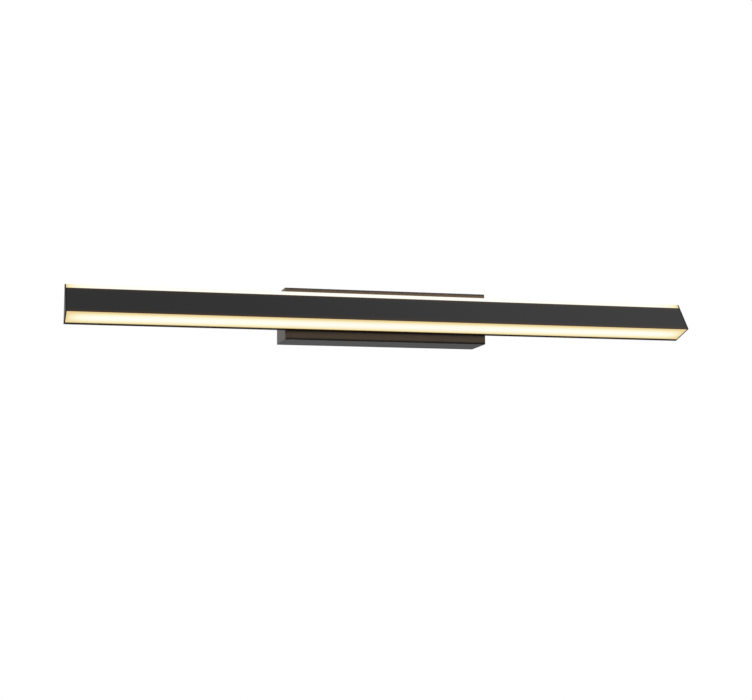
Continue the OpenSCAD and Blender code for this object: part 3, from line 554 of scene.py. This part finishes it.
class Shape:
    """A mesh in the making, in metres, in the row frame."""

    def __init__(self) -> None:
        """Starts an empty mesh."""
        self.bm = bmesh.new()

    @classmethod
    def from_node(cls, node: str, flat: float = 0.4) -> "Shape":
        """Starts from a merged copy of a CAD node.

        Args:
            node: The CAD node.
            flat: Faces that meet within this angle, in degrees, become one.

        Returns:
            The new shape.
        """
        made = cls()
        made.bm.from_mesh(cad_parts[node].data)
        bmesh.ops.remove_doubles(made.bm, verts=made.bm.verts, dist=WELD)
        bmesh.ops.dissolve_limit(
            made.bm, angle_limit=math.radians(flat), verts=made.bm.verts, edges=made.bm.edges)
        return made

    @classmethod
    def lathed(cls, profile: Sequence[tuple[float, float]], steps: int = 32) -> "Shape":
        """Spins a profile round the Z axis.

        Args:
            profile: Points (radius, height) in order; it starts and ends on the axis or closes on itself.
            steps: Number of sides.

        Returns:
            The new shape.
        """
        made = cls()
        verts = [made.bm.verts.new((radius, 0, height)) for radius, height in profile]
        edges = [made.bm.edges.new(pair) for pair in zip(verts, verts[1:])]
        if profile[0][0] > 0:
            edges.append(made.bm.edges.new((verts[-1], verts[0])))
        bmesh.ops.spin(
            made.bm, geom=verts + edges, cent=(0, 0, 0), axis=(0, 0, 1), dvec=(0, 0, 0),
            angle=2 * math.pi, steps=steps, use_merge=True, use_duplicate=False)
        made.close()
        return made

    @classmethod
    def prism(cls, sides: int, radius: float, low: float, high: float) -> "Shape":
        """Makes an upright prism or, with many sides, a cylinder."""
        made = cls()
        bmesh.ops.create_cone(
            made.bm, cap_ends=True, cap_tris=False, segments=sides, radius1=radius, radius2=radius,
            depth=high - low, matrix=Matrix.Translation((0, 0, (low + high) / 2)))
        return made

    @classmethod
    def block(cls, low: Sequence[float], high: Sequence[float]) -> "Shape":
        """Makes a box between two corners."""
        made = cls()
        size = Vector(high) - Vector(low)
        bmesh.ops.create_cube(
            made.bm, size=1,
            matrix=Matrix.Translation((Vector(low) + Vector(high)) / 2) @ Matrix.Diagonal((*size, 1)))
        return made

    def close(self) -> None:
        """Merges doubles and turns every face outwards."""
        bmesh.ops.remove_doubles(self.bm, verts=self.bm.verts, dist=WELD)
        bmesh.ops.recalc_face_normals(self.bm, faces=self.bm.faces)

    def soften(self, width: float, segments: int = 2, sharp: float = 30,
               chosen: Callable[[bmesh.types.BMEdge], bool] = lambda edge: True) -> "Shape":
        """Rounds the sharp edges.

        Args:
            width: Width of the round.
            segments: Facets across it.
            sharp: Only edges whose faces meet at more than this angle, in degrees, are rounded.
            chosen: A further test that an edge has to pass.

        Returns:
            The same shape.
        """
        edges = [edge for edge in self.bm.edges if len(edge.link_faces) == 2
                 and edge.calc_face_angle() > math.radians(sharp) and chosen(edge)]
        bmesh.ops.bevel(
            self.bm, geom=edges, offset=width, offset_type="OFFSET", segments=segments, profile=0.5,
            affect="EDGES", clamp_overlap=True, material=-1)
        return self

    def moved(self, matrix: Matrix) -> "Shape":
        """Moves the shape by a matrix."""
        bmesh.ops.transform(self.bm, matrix=matrix, verts=self.bm.verts)
        return self

    def add(self, other: "Shape", matrix: Matrix = Matrix.Identity(4)) -> "Shape":
        """Adds a copy of another shape, moved by a matrix."""
        copy = bpy.data.meshes.new("copy")
        other.bm.to_mesh(copy)
        copy.transform(matrix)
        self.bm.from_mesh(copy)
        bpy.data.meshes.remove(copy)
        return self

    def carved(self, tool: "Shape") -> "Shape":
        """Cuts the tool's volume out of the shape.

        Args:
            tool: The closed shape to take away.

        Returns:
            The same shape.
        """
        body, cutter = self.loose("body"), tool.loose("cutter")
        cut = body.modifiers.new("cut", "BOOLEAN")
        cut.operation, cut.solver, cut.object = "DIFFERENCE", "EXACT", cutter
        self.take_over(body, cutter)
        bmesh.ops.dissolve_limit(
            self.bm, angle_limit=math.radians(0.05), verts=self.bm.verts, edges=self.bm.edges)
        return self

    def take_over(self, body: bpy.types.Object, *helpers: bpy.types.Object) -> None:
        """Takes an object's mesh with its modifiers applied, and removes the passing objects.

        Args:
            body: The passing object whose mesh becomes the shape's.
            *helpers: Other passing objects that its modifiers read.
        """
        bpy.context.view_layer.update()
        result = bpy.data.meshes.new_from_object(body.evaluated_get(bpy.context.evaluated_depsgraph_get()))
        self.bm.clear()
        self.bm.from_mesh(result)
        for made in (body, *helpers):
            mesh = made.data
            bpy.data.objects.remove(made)
            bpy.data.meshes.remove(mesh)
        bpy.data.meshes.remove(result)

    def loose(self, name: str) -> bpy.types.Object:
        """Makes a passing object of the shape."""
        mesh = bpy.data.meshes.new(name)
        self.bm.to_mesh(mesh)
        made = bpy.data.objects.new(name, mesh)
        bpy.context.scene.collection.objects.link(made)
        return made

    def finish(self, name: str, look: Finish, slot: str, *nodes: str, crease: float = 32) -> bpy.types.Object:
        """Makes the finished piece and hands it to the frame.

        Args:
            name: The piece's name.
            look: Its finish.
            slot: The record's material slot; not used.
            *nodes: The CAD nodes that it stands for.
            crease: Edges sharper than this angle, in degrees, stay sharp.

        Returns:
            The new object.
        """
        made = self.loose(name)
        self.bm.free()
        made.data.shade_smooth()
        made.data.set_sharp_from_angle(angle=math.radians(crease))
        normals = made.modifiers.new("flat_faces_first", "WEIGHTED_NORMAL")
        normals.keep_sharp = True
        made.data.materials.append(look.material())
        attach(made, BODY)
        if nodes:
            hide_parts(*nodes)
        log.info("%-22s %6d faces", name, len(made.data.polygons))
        return made


def solids(node: str) -> list[list[Vector]]:
    """The points of each separate solid of a CAD node, sorted by where it lies along X."""
    shape = Shape.from_node(node)
    waiting = set(shape.bm.verts)
    found = []
    while waiting:
        reached, front = set(), [waiting.pop()]
        while front:
            vert = front.pop()
            reached.add(vert)
            near = {edge.other_vert(vert) for edge in vert.link_edges} & waiting
            waiting -= near
            front.extend(near)
        found.append([vert.co.copy() for vert in reached])
    shape.bm.free()
    return sorted(found, key=lambda points: tuple(round(c, 5) for c in min(points, key=lambda p: tuple(p))))


def tip(points: list[Vector], way: Vector) -> Vector:
    """The middle of a solid's face that lies furthest one way."""
    reach = max(point.dot(way) for point in points)
    rim = [point for point in points if point.dot(way) > reach - 0.01 * MM]
    return sum(rim, Vector()) / len(rim)


def facing(at: Vector, way: Vector, turn: float = 0) -> Matrix:
    """A matrix that carries +Z to a direction and the origin to a point, after a turn about +Z."""
    swing = way.to_track_quat("Z", "Y").to_matrix().to_4x4()
    return Matrix.Translation(at) @ swing @ Matrix.Rotation(turn, 4, "Z")


def arc(centre: tuple[float, float], radius: float, start: float, end: float, steps: int) -> Profile:
    """Points on an arc of a profile.

    Args:
        centre: The arc's centre, (radius, height).
        radius: The arc's own radius.
        start: Angle of its first point in degrees, from outwards towards up.
        end: Angle of its last point.
        steps: Number of its facets.

    Returns:
        The points in order.
    """
    angles = [math.radians(start + (end - start) * i / steps) for i in range(steps + 1)]
    return [(centre[0] + radius * math.cos(a), centre[1] + radius * math.sin(a)) for a in angles]


# ---------------------------------------------------------------- fasteners

class Head(Enum):
    """Shape of a screw's head."""

    BUTTON = "button"
    FLUSH = "flush"


@dataclass(frozen=True)
class Screw:
    """A hex-socket screw, its head's top at Z = 0 and its thread below."""

    head: Head
    head_r: float
    head_h: float
    thread_r: float
    length: float
    socket_r: float
    socket_depth: float
    pitch: float = 0.7 * MM
    sides: int = 32

    def shape(self) -> Shape:
        """Makes the screw."""
        edge = 0.3 * self.head_h
        crest, root = self.thread_r, self.thread_r - 0.5 * self.pitch
        if self.head is Head.BUTTON:
            cap = [(0, 0), (0.6 * self.head_r, -0.02 * MM)]
            cap += arc((self.head_r - edge, -edge), edge, 70, 0, 5) + [(self.head_r, -self.head_h)]
        else:
            cap = [(0, 0), (self.head_r - 0.1 * MM, 0), (self.head_r, -0.1 * MM)]
        turns = int((self.length - self.pitch) / self.pitch)
        top = -self.head_h - (self.length - turns * self.pitch - 0.3 * self.pitch)
        ridges = []
        for i in range(turns):
            ridges += [(root, top - i * self.pitch), (crest, top - (i + 0.5) * self.pitch)]
        foot = -self.head_h - self.length
        profile = cap + [(crest, -self.head_h), (crest, top + 0.3 * self.pitch), *ridges,
                         (root, foot + 0.1 * self.pitch), (0.8 * root, foot), (0, foot)]
        screw = Shape.lathed(profile, self.sides)
        return screw.carved(Shape.prism(6, self.socket_r, -self.socket_depth, 1 * MM))

    def row(self, node: str, way: Vector, turn: float = 0.3) -> Shape:
        """Puts one screw at each solid of a CAD node, all heads one way.

        Args:
            node: The CAD node that holds the screws.
            way: The direction of their heads.
            turn: Turn of each screw against the one before, in radians.

        Returns:
            The whole set as one shape.
        """
        one, row = self.shape(), Shape()
        for i, points in enumerate(solids(node)):
            row.add(one, facing(tip(points, way), way, turn * (i + 1)))
        one.bm.free()
        return row


M4_BUTTON = Screw(
    Head.BUTTON, head_r=3.5 * MM, head_h=2.2 * MM, thread_r=2 * MM, length=7.1 * MM,
    socket_r=1.575 * MM, socket_depth=1.32 * MM)
M3_BUTTON = Screw(
    Head.BUTTON, head_r=2.6 * MM, head_h=1.6 * MM, thread_r=1.5 * MM, length=2.8 * MM,
    socket_r=1.17 * MM, socket_depth=0.96 * MM, pitch=0.5 * MM)
PORT_SCREW = Screw(
    Head.FLUSH, head_r=2.6 * MM, head_h=1.1 * MM, thread_r=1.25 * MM, length=6.7 * MM,
    socket_r=1.17 * MM, socket_depth=0.72 * MM, pitch=0.5 * MM)


# ---------------------------------------------------------------- sub-assemblies

@dataclass
class SubAssembly:
    """A group of pieces that are built and dressed together."""

    pieces: list[bpy.types.Object] = field(default_factory=list, init=False)

    def build(self) -> None:
        """Builds the pieces whose shape is finer than the CAD's."""

    def dress(self) -> None:
        """Gives the CAD's own pieces their finish."""

    def keep(self, *made: bpy.types.Object) -> None:
        """Counts new pieces."""
        self.pieces.extend(made)

    def soften(self, node: str, name: str, width: float, segments: int, look: Finish, slot: str) -> None:
        """Makes a piece from a CAD node by rounding its edges.

        Args:
            node: The CAD node, which the piece stands for.
            name: The piece's name.
            width: Width of the round.
            segments: Facets across it.
            look: The piece's finish.
            slot: The record's material slot.
        """
        self.keep(Shape.from_node(node).soften(width, segments).finish(name, look, slot, node))

    def coat(self, look: Finish, *nodes: str) -> None:
        """Puts a finish on CAD nodes that stay as they are."""
        for node in nodes:
            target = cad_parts[node]
            for material_slot in target.material_slots:
                material_slot.material = look.material()
            self.pieces.append(target)
            log.info("%-22s CAD mesh, %s", node, look.label)


@dataclass
class LampBar(SubAssembly):
    """The triangular bar: spine, front plate, two lenses and its two closed ends."""

    edge_round: float = 0.25 * MM
    cap_round: float = 0.35 * MM
    seal_round: float = 0.15 * MM
    front_lip: float = 1.8 * MM
    rear_lip: float = 6.2 * MM
    lit_strip: float = 7.5 * MM
    top_round: float = 1.2 * MM

    def corners(self) -> tuple[Vector, Vector, Vector]:
        """The section's front, top and rear corners as (0, Y, Z), read from an end cap."""
        points = solids("right_end_cap")[0]
        found = (tip(points, Vector(way)) for way in ((0, -1, 0), (0, 0, 1), (0, 0, -1)))
        return tuple(Vector((0, point.y, point.z)) for point in found)

    def build(self) -> None:
        """Builds the extrusions, the lenses, the caps and their screws."""
        front, top, rear = self.corners()
        bar_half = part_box("spine")[1].x
        base, rise = (rear - front), (top - front)
        rise_way = tuple(rise.normalized())[1:]
        plate_top = top - rise.normalized() * self.lit_strip
        rail = rear - base.normalized() * self.rear_lip
        # Painted light: the plate gets a warm glow painted as emission along its bottom and top edges, beside
        # the lit lenses.
        plate = SatinPaint(
            "plate_satin", (0.016, 0.016, 0.0165), edges=((front.y, front.z), (plate_top.y, plate_top.z)))
        # Painted light: the spine gets a warm glow painted as emission beside the rear edge of the underside
        # lens.
        spine = PowderCoat(
            "spine_coat", (0.02, 0.019, 0.018), edges=((rail.y, rail.z),), reach=4 * MM,
            stray=(0.02, 0.008, 0.001))
        lit_width = base.length - self.front_lip - self.rear_lip
        under = LitLens(
            "lit_underside", start=(front.y, front.z), along=tuple(base.normalized())[1:],
            middle=self.front_lip + 0.53 * lit_width, half=0.45 * lit_width, bar_half=bar_half)
        over = LitLens(
            "lit_top_edge", start=(top.y, top.z), along=rise_way, middle=-4 * MM, half=9 * MM,
            bar_half=bar_half, edge=0.55, heart=tone(254, 253, 245))
        self.soften("spine", "spine_extrusion", self.edge_round, 2, spine, "bar_metal")
        self.soften("front_plate", "slanted_front_plate", self.edge_round, 3, plate, "plate_metal")
        self.keep(self.round_topped("top_lens", top).soften(self.edge_round, 3).finish(
            "top_edge_lens", over, "lens", "top_lens"))
        self.soften("bottom_lens", "underside_lens", self.edge_round, 3, under, "lens")
        for side in ("left", "right"):
            cap = f"{side}_end_cap"
            self.keep(self.round_topped(cap, top).soften(self.cap_round, 3).finish(
                f"{side}_end_plate", Paint.BAR.value, "bar_metal", cap))
            self.soften(f"{side}_end_gasket", f"{side}_end_seal", self.seal_round, 2,
                        Paint.RUBBER.value, "black_rubber")
        self.keep(self.port_screws().finish(
            "end_plate_screws", Paint.OXIDE.value, "black_screw", "end_cap_screws"))

    def round_topped(self, node: str, top: Vector) -> Shape:
        """Copies a node and rounds its edge along the bar's top."""
        return Shape.from_node(node).soften(
            self.top_round, 5, chosen=lambda edge: all(
                (Vector((0, vert.co.y, vert.co.z)) - top).length < 0.1 * MM for vert in edge.verts))

    def port_screws(self) -> Shape:
        """Puts a flush screw at each screw port of both ends."""
        one, row = PORT_SCREW.shape(), Shape()
        for i, points in enumerate(solids("end_cap_screws")):
            way = Vector((math.copysign(1, points[0].x), 0, 0))
            row.add(one, facing(tip(points, way), way, 0.4 * i))
        one.bm.free()
        return row


@dataclass
class LightSource(SubAssembly):
    """The two LED boards with their packages, screws and connectors."""

    led_pitch: float = 15 * MM

    def dress(self) -> None:
        """Gives the boards and what is on them their finish."""
        white_board = SolderMask("white_led_board", (0.82, 0.82, 0.79), (0.75, 0.6, 0.35), self.led_pitch)
        self.coat(white_board, "upper_led_board", "lower_led_board")
        self.coat(Phosphor("led_phosphor_cup", self.led_pitch), "upper_leds", "lower_leds")
        self.coat(Paint.ZINC.value, "board_screws")

    def build(self) -> None:
        """Builds the push-in connectors."""
        self.soften("board_connectors", "push_in_connectors", 0.4 * MM, 3, Paint.WHITE.value, "white_plastic")


@dataclass
class SaddleJoint(SubAssembly):
    """The wedge between the bar and the canopy, with its screws, nuts and wire bush."""

    flange_t: float = 1.2 * MM
    sheet_t: float = 1.2 * MM
    bush_r: float = 5 * MM
    bore_r: float = 3.4 * MM
    mouth_round: float = 0.3 * MM
    screw_length: float = 5.3 * MM

    def build(self) -> None:
        """Builds the saddle, its fasteners and the bush."""
        self.soften("saddle", "saddle_wedge", 0.4 * MM, 3, Paint.BAR.value, "bar_metal")
        for what in ("screws", "nuts"):
            self.soften(f"bar_{what}", f"bar_fixing_{what}", 0.25 * MM, 2, Paint.ZINC.value, "zinc")
        self.keep(
            self.screws().finish("saddle_fixing_screws", Paint.ZINC.value, "zinc", "saddle_screws"),
            self.bush().finish("wire_bush", Paint.RUBBER.value, "black_rubber", "wire_grommet"))

    def screws(self) -> Shape:
        """Makes the two screws that hold the saddle on the canopy."""
        return replace(M4_BUTTON, length=self.screw_length).row("saddle_screws", Vector((0, 1, 0)))

    def bush(self) -> Shape:
        """Makes the rubber bush, with round flanges on both faces of the sheet."""
        low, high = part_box("wire_grommet")
        flange_r, half = (high.x - low.x) / 2, self.sheet_t / 2
        lip, outer = self.flange_t / 2, half + self.flange_t
        mouth_r = self.bore_r + self.mouth_round
        profile = [(self.bore_r, self.mouth_round - outer), (mouth_r, -outer)]
        profile += arc((flange_r - lip, -half - lip), lip, -90, 90, 8)
        profile += [(self.bush_r, -half), (self.bush_r, half)]
        profile += arc((flange_r - lip, half + lip), lip, -90, 90, 8)
        profile += [(mouth_r, outer), (self.bore_r, outer - self.mouth_round)]
        return Shape.lathed(profile, 48).moved(facing((low + high) / 2, Vector((0, -1, 0))))


@dataclass
class Canopy(SubAssembly):
    """The sheet box on the wall, with the two screws that hold it."""

    sheet: float = 1.2 * MM
    front_round: float = 3 * MM
    side_round: float = 0.9 * MM
    inner_round: float = 0.3 * MM
    facets: int = 8
    hole_r: float = 2.2 * MM
    wire_hole_r: float = 5 * MM

    def build(self) -> None:
        """Builds the box and its screws."""
        self.keep(
            self.shell().finish("canopy_box", Paint.CANOPY.value, "canopy_metal", "canopy"),
            M4_BUTTON.row("canopy_screws", Vector((0, 0, 1))).finish(
                "canopy_fixing_screws", Paint.OXIDE.value, "black_screw", "canopy_screws"))

    def shell(self) -> Shape:
        """Makes the open-backed box: rounded front, small rounds down its corners, drilled."""
        low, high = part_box("canopy")
        box = self.rounded(low, high, self.front_round, self.side_round)
        inner_low = low + Vector((self.sheet,) * 3)
        inner_high = high + Vector((-self.sheet, 2 * self.sheet, -self.sheet))
        box.carved(self.rounded(inner_low, inner_high, self.front_round - self.sheet, self.inner_round))
        drills = Shape()
        for points in solids("saddle_screws") + solids("wire_grommet"):
            head = tip(points, Vector((0, 1, 0)))
            radius = self.wire_hole_r if abs(head.x) < self.wire_hole_r else self.hole_r
            drills.add(Shape.prism(48, radius, -2 * self.sheet, 2 * self.sheet),
                       facing(Vector((head.x, low.y + self.sheet / 2, head.z)), Vector((0, -1, 0))))
        for points in solids("canopy_screws"):
            head = tip(points, Vector((0, 0, 1)))
            drills.add(Shape.prism(48, self.hole_r, -2 * self.sheet, 2 * self.sheet),
                       Matrix.Translation((head.x, head.y, high.z - self.sheet / 2)))
        return box.carved(drills)

    def rounded(self, low: Vector, high: Vector, front: float, side: float) -> Shape:
        """Makes a box whose front edges have one radius and whose four depth edges have another.

        Args:
            low: Its lowest corner.
            high: Its highest corner.
            front: Radius of the four edges round its front.
            side: Radius of the four edges that run back from there.

        Returns:
            The new shape.
        """
        box = Shape.block(low, high)
        weight = box.bm.edges.layers.float.new("bevel_weight_edge")
        for edge in box.bm.edges:
            ends = [vert.co.y for vert in edge.verts]
            if max(ends) < low.y + WELD:
                edge[weight] = 1.0
            elif min(ends) < low.y + WELD:
                edge[weight] = side / front
        made = box.loose("box")
        bevel = made.modifiers.new("rounds", "BEVEL")
        bevel.limit_method, bevel.width, bevel.segments = "WEIGHT", front, self.facets
        box.take_over(made)
        box.close()
        return box


@dataclass
class WallMount(SubAssembly):
    """The steel bracket on the wall box, with its ground screw and terminal."""

    def build(self) -> None:
        """Builds the bracket and what is screwed to it."""
        self.soften("wall_bracket", "steel_wall_bracket", 0.3 * MM, 2, Paint.SHEET_ZINC.value, "zinc")
        self.soften("ground_screw", "green_ground_screw", 0.2 * MM, 2, Paint.GREEN.value, "green_screw")
        self.soften("ground_terminal", "ring_terminal", 0.12 * MM, 2, Paint.BRASS.value, "tinned_brass")


@dataclass
class Driver(SubAssembly):
    """The LED driver: a moulded case with its board and components."""

    can_r: float = 5 * MM
    can_facets: int = 5
    score_half: float = 2.6 * MM

    def build(self) -> None:
        """Builds the case, the lid, its screws and the larger components."""
        low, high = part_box("driver_transformer")
        core = WoundCore("wound_core", tuple((low + high) / 2))
        self.soften("driver_case", "driver_tray", 0.6 * MM, 3, Paint.WHITE.value, "white_plastic")
        self.soften("driver_lid", "driver_cover", 0.45 * MM, 3, Paint.WHITE.value, "white_plastic")
        self.keep(M3_BUTTON.row("driver_screws", Vector((0, -1, 0))).finish(
            "driver_fixing_screws", Paint.ZINC.value, "zinc", "driver_screws"))
        self.soften("driver_transformer", "transformer", 0.5 * MM, 3, core, "ferrite")
        self.keep(self.cans().finish(
            "capacitor_cans", Paint.SLEEVE.value, "capacitor_sleeve", "driver_capacitors"))
        self.soften("driver_terminals", "terminal_blocks", 0.4 * MM, 2,
                    Paint.GREEN_BLOCK.value, "terminal_green")

    def cans(self) -> Shape:
        """Makes the two capacitors: a sleeve with a crimped neck and a scored top."""
        row = Shape()
        for points in solids("driver_capacitors"):
            reach = tip(points, Vector((0, -1, 0)))
            length = max(p.y for p in points) - min(p.y for p in points)
            lip, neck = 0.6 * MM, 2.2 * MM
            profile = [(0, -0.15 * MM), (self.can_r - 1.1 * MM, -0.15 * MM), (self.can_r - 0.9 * MM, 0)]
            profile += arc((self.can_r - lip, -lip), lip, 90, 0, self.can_facets)
            profile += [(self.can_r, neck - length)]
            profile += arc((self.can_r + 0.25 * MM, 0.5 * neck - length), 0.5 * MM, 120, 240, 6)
            profile += [(self.can_r, 0.3 * MM - length), (self.can_r - 0.3 * MM, -length), (0, -length)]
            can = Shape.lathed(profile, 40)
            for turn in (0, math.pi / 2):
                score = Shape.block(
                    (-self.score_half, -0.15 * MM, -0.35 * MM), (self.score_half, 0.15 * MM, 1 * MM))
                can.carved(score.moved(Matrix.Rotation(turn, 4, "Z")))
            row.add(can, facing(reach, Vector((0, -1, 0))))
        return row

    def dress(self) -> None:
        """Gives the circuit board its finish."""
        low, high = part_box("driver_board")
        green_board = SolderMask(
            "green_driver_board", (0.03, 0.2, 0.08), (0.7, 0.55, 0.3), pitch=6 * MM,
            centre=tuple((low + high) / 2))
        self.coat(green_board, "driver_board")


@dataclass
class Wiring(SubAssembly):
    """The leads and the twist-on connectors that join them to the house wiring."""

    ribs: int = 14
    rings: int = 10
    grooved: tuple[float, float] = (0.1, 0.85)
    rib_depth: float = 0.35 * MM
    mouth_r: float = 3 * MM
    mouth_depth: float = 8 * MM
    wide_r: float = 5.4 * MM
    narrow_r: float = 3 * MM

    def build(self) -> None:
        """Builds the leads and the connectors."""
        looks = {
            "line_lead": (Paint.BLACK_WIRE, "black_wire"),
            "neutral_lead": (Paint.WHITE_WIRE, "white_wire"),
            "ground_lead": (Paint.GREEN_WIRE, "green_wire"),
            "upper_board_leads": (Paint.RED_WIRE, "red_wire"),
            "lower_board_leads": (Paint.BLACK_WIRE, "black_wire")}
        for node, (paint, slot) in looks.items():
            self.keep(self.smooth_lead(node).finish(f"{node}_run", paint.value, slot, node, crease=50))
        self.keep(self.caps().finish(
            "twist_on_caps", Paint.ORANGE.value, "orange_plastic", "wire_connectors"))

    def smooth_lead(self, node: str) -> Shape:
        """Copies a lead and rounds its flat sides."""
        lead = Shape.from_node(node, 0.05)
        long_edges = [edge for edge in lead.bm.edges if len(edge.link_faces) == 2]
        bmesh.ops.subdivide_edges(
            lead.bm, edges=long_edges, cuts=1, smooth=1.0, use_smooth_even=True, use_grid_fill=True)
        return lead

    def caps(self) -> Shape:
        """Makes the ribbed twist-on caps, their mouths towards +X."""
        row = Shape()
        for points in solids("wire_connectors"):
            mouth = tip(points, Vector((1, 0, 0)))
            length = max(p.x for p in points) - min(p.x for p in points)
            inner, rim, nose = 0.3 * MM, 0.4 * MM, 1.4 * MM
            profile = [(0, -self.mouth_depth), (self.mouth_r, -self.mouth_depth), (self.mouth_r, -inner),
                       (self.mouth_r + inner, 0), (self.wide_r - rim, 0), (self.wide_r, -rim)]
            for i in range(1, self.rings):
                share = i / self.rings
                radius = self.wide_r + (self.narrow_r - self.wide_r) * share
                profile.append((radius, -rim - share * (length - 2 * MM)))
            profile += arc((self.narrow_r - nose, nose - length), nose, 10, -90, 6) + [(0, -length)]
            cap = Shape.lathed(profile, 4 * self.ribs)
            self.flute(cap, length)
            row.add(cap, facing(mouth, Vector((1, 0, 0))))
        return row

    def flute(self, cap: Shape, length: float) -> None:
        """Presses grooves between the ribs of a cap, deepest at mid length."""
        for vert in cap.bm.verts:
            radius = math.hypot(vert.co.x, vert.co.y)
            share = -vert.co.z / length
            if radius > self.mouth_r + 0.05 * MM and self.grooved[0] < share < self.grooved[1]:
                groove = 0.5 - 0.5 * math.cos(self.ribs * math.atan2(vert.co.y, vert.co.x))
                shrink = 1 - self.rib_depth * groove * math.sin(math.pi * share) / radius
                vert.co.x *= shrink
                vert.co.y *= shrink


# ---------------------------------------------------------------- studio

@dataclass
class Softbox:
    """A soft rectangular lamp."""

    name: str
    place: Vector
    aim: Vector
    width: float
    height: float
    radiance: float
    colour: Colour = (1, 1, 1)

    def build(self) -> bpy.types.Object:
        """Makes the lamp, its width as near to X as its aim allows."""
        data = bpy.data.lights.new(self.name, "AREA")
        data.shape, data.size, data.size_y = "RECTANGLE", self.width, self.height
        data.energy = self.radiance * math.pi * self.width * self.height
        data.color = self.colour
        lamp = bpy.data.objects.new(self.name, data)
        back = (self.place - self.aim).normalized()
        side = (Vector((1, 0, 0)) - back * back.x).normalized()
        lamp.matrix_world = Matrix((side, back.cross(side), back)).transposed().to_4x4()
        lamp.matrix_world.translation = self.place
        lamp.visible_camera = False
        bpy.context.scene.collection.objects.link(lamp)
        log.info("%-22s lamp", self.name)
        return lamp


@dataclass
class Studio:
    """Camera, floor, studio lamps and two lamps for the light that the bar's lenses throw."""

    camera_place: Vector = field(default_factory=lambda: Vector((-0.56592, -2.04366, -0.32015)))
    yaw: float = math.radians(15.4537)
    pitch: float = math.radians(7.4877)
    roll: float = math.radians(-0.692)
    focal: float = 69.2385
    sensor: float = 36
    far_clip: float = 50
    glow_gap: float = 0.6 * MM
    floor_z: float = -1.0
    floor_r: float = 3.0

    def camera(self) -> None:
        """Makes the camera and points it."""
        level = math.cos(self.pitch)
        ahead = Vector((math.sin(self.yaw) * level, math.cos(self.yaw) * level, math.sin(self.pitch)))
        right = Vector((math.cos(self.yaw), -math.sin(self.yaw), 0))
        up = right.cross(ahead)
        turned_right = math.cos(self.roll) * right + math.sin(self.roll) * up
        turned_up = math.cos(self.roll) * up - math.sin(self.roll) * right
        data = bpy.data.cameras.new("camera")
        data.lens, data.sensor_width, data.clip_end = self.focal, self.sensor, self.far_clip
        made = bpy.data.objects.new("camera", data)
        made.matrix_world = Matrix((turned_right, turned_up, -ahead)).transposed().to_4x4()
        made.matrix_world.translation = self.camera_place
        bpy.context.scene.collection.objects.link(made)
        bpy.context.scene.camera = made

    def floor(self) -> None:
        """Makes the pale floor, well below the object."""
        shape = Shape()
        bmesh.ops.create_circle(
            shape.bm, cap_ends=True, segments=96, radius=self.floor_r,
            matrix=Matrix.Translation((0, 0, self.floor_z)))
        made = shape.loose("floor")
        shape.bm.free()
        made.data.materials.append(Paint.FLOOR.value.material())
        made.visible_glossy = made.visible_diffuse = False

    def lamps(self, bar: LampBar) -> None:
        """Lights the object, and lets the bar's lenses light the canopy."""
        middle = Vector((0, -0.07, 0))
        warm = (1.0, 0.58, 0.26)
        front, top, rear = bar.corners()
        length = 2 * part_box("spine")[1].x - 10 * MM
        low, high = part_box("top_lens")
        base = (rear - front).normalized()
        under_way = Vector((0, base.z, -base.y))
        back = (rear - top).normalized()
        back_way = Vector((0, -back.z, back.y))
        reach = (low.z - top.z) / back.z
        under = (front + rear) / 2 + under_way * self.glow_gap
        behind = top + back * (0.5 * reach) + back_way * self.glow_gap
        for lamp in (
            Softbox("key_softbox", Vector((-2.4, -2.0, 0.9)), middle, 1.4, 1.4, 3.0),
            Softbox("fill_softbox", Vector((1.7, -2.3, 0.2)), middle, 1.2, 1.2, 1.4),
            Softbox("ceiling_softbox", Vector((2.2, -0.75, 2.2)), Vector((2.2, -0.75, 0)), 3.2, 1.6, 0.5),
            Softbox("underside_glow", under, under + under_way, length, 34 * MM, 2.2, warm),
            Softbox("top_glow", behind, behind + back_way, length, 0.8 * reach, 6.0, warm),
        ):
            lamp.build()

    def world(self) -> None:
        """Makes a backdrop that the camera sees as white, and that lights most from the wall's side."""
        made = bpy.data.worlds.new("studio")
        recipe = Recipe(made)
        x, y, z = recipe.parts(recipe.node("ShaderNodeTexCoord").outputs["Generated"])
        back = y.step(-0.3, 0.8)
        down = (z * -1).step(0.25, 0.8)
        up = z.step(0.1, 0.8)
        light = (0.12 + back * (0.8 - x * 0.5)) * (1 - down * 0.85) * (1 - up * 0.6) + up * 0.4
        soft = recipe.node("ShaderNodeBackground", None, {"Color": (1, 1, 1, 1), "Strength": light})
        white = recipe.node("ShaderNodeBackground", None, {"Color": (1, 1, 1, 1), "Strength": 1.0})
        seen = recipe.node("ShaderNodeLightPath").outputs["Is Camera Ray"]
        both = recipe.node("ShaderNodeMixShader", None, {0: seen, 1: soft.outputs[0], 2: white.outputs[0]})
        recipe.node("ShaderNodeOutputWorld", None, {0: both.outputs[0]})
        bpy.context.scene.world = made

    def build(self, bar: LampBar) -> None:
        """Sets up the whole studio."""
        self.camera()
        self.floor()
        self.lamps(bar)
        self.world()
        bpy.context.scene.view_settings.view_transform = "Standard"
        bpy.context.scene.view_settings.look = "None"


def main() -> None:
    """Builds and dresses every sub-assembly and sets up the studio."""
    logging.basicConfig(level=logging.INFO, format="%(name)s: %(message)s")
    bar = LampBar()
    for part in (bar, LightSource(), SaddleJoint(), Canopy(), WallMount(), Driver(), Wiring()):
        part.build()
        part.dress()
        log.info("%-22s %d pieces", type(part).__name__, len(part.pieces))
    Studio().build(bar)


if __name__ == "__main__":
    main()
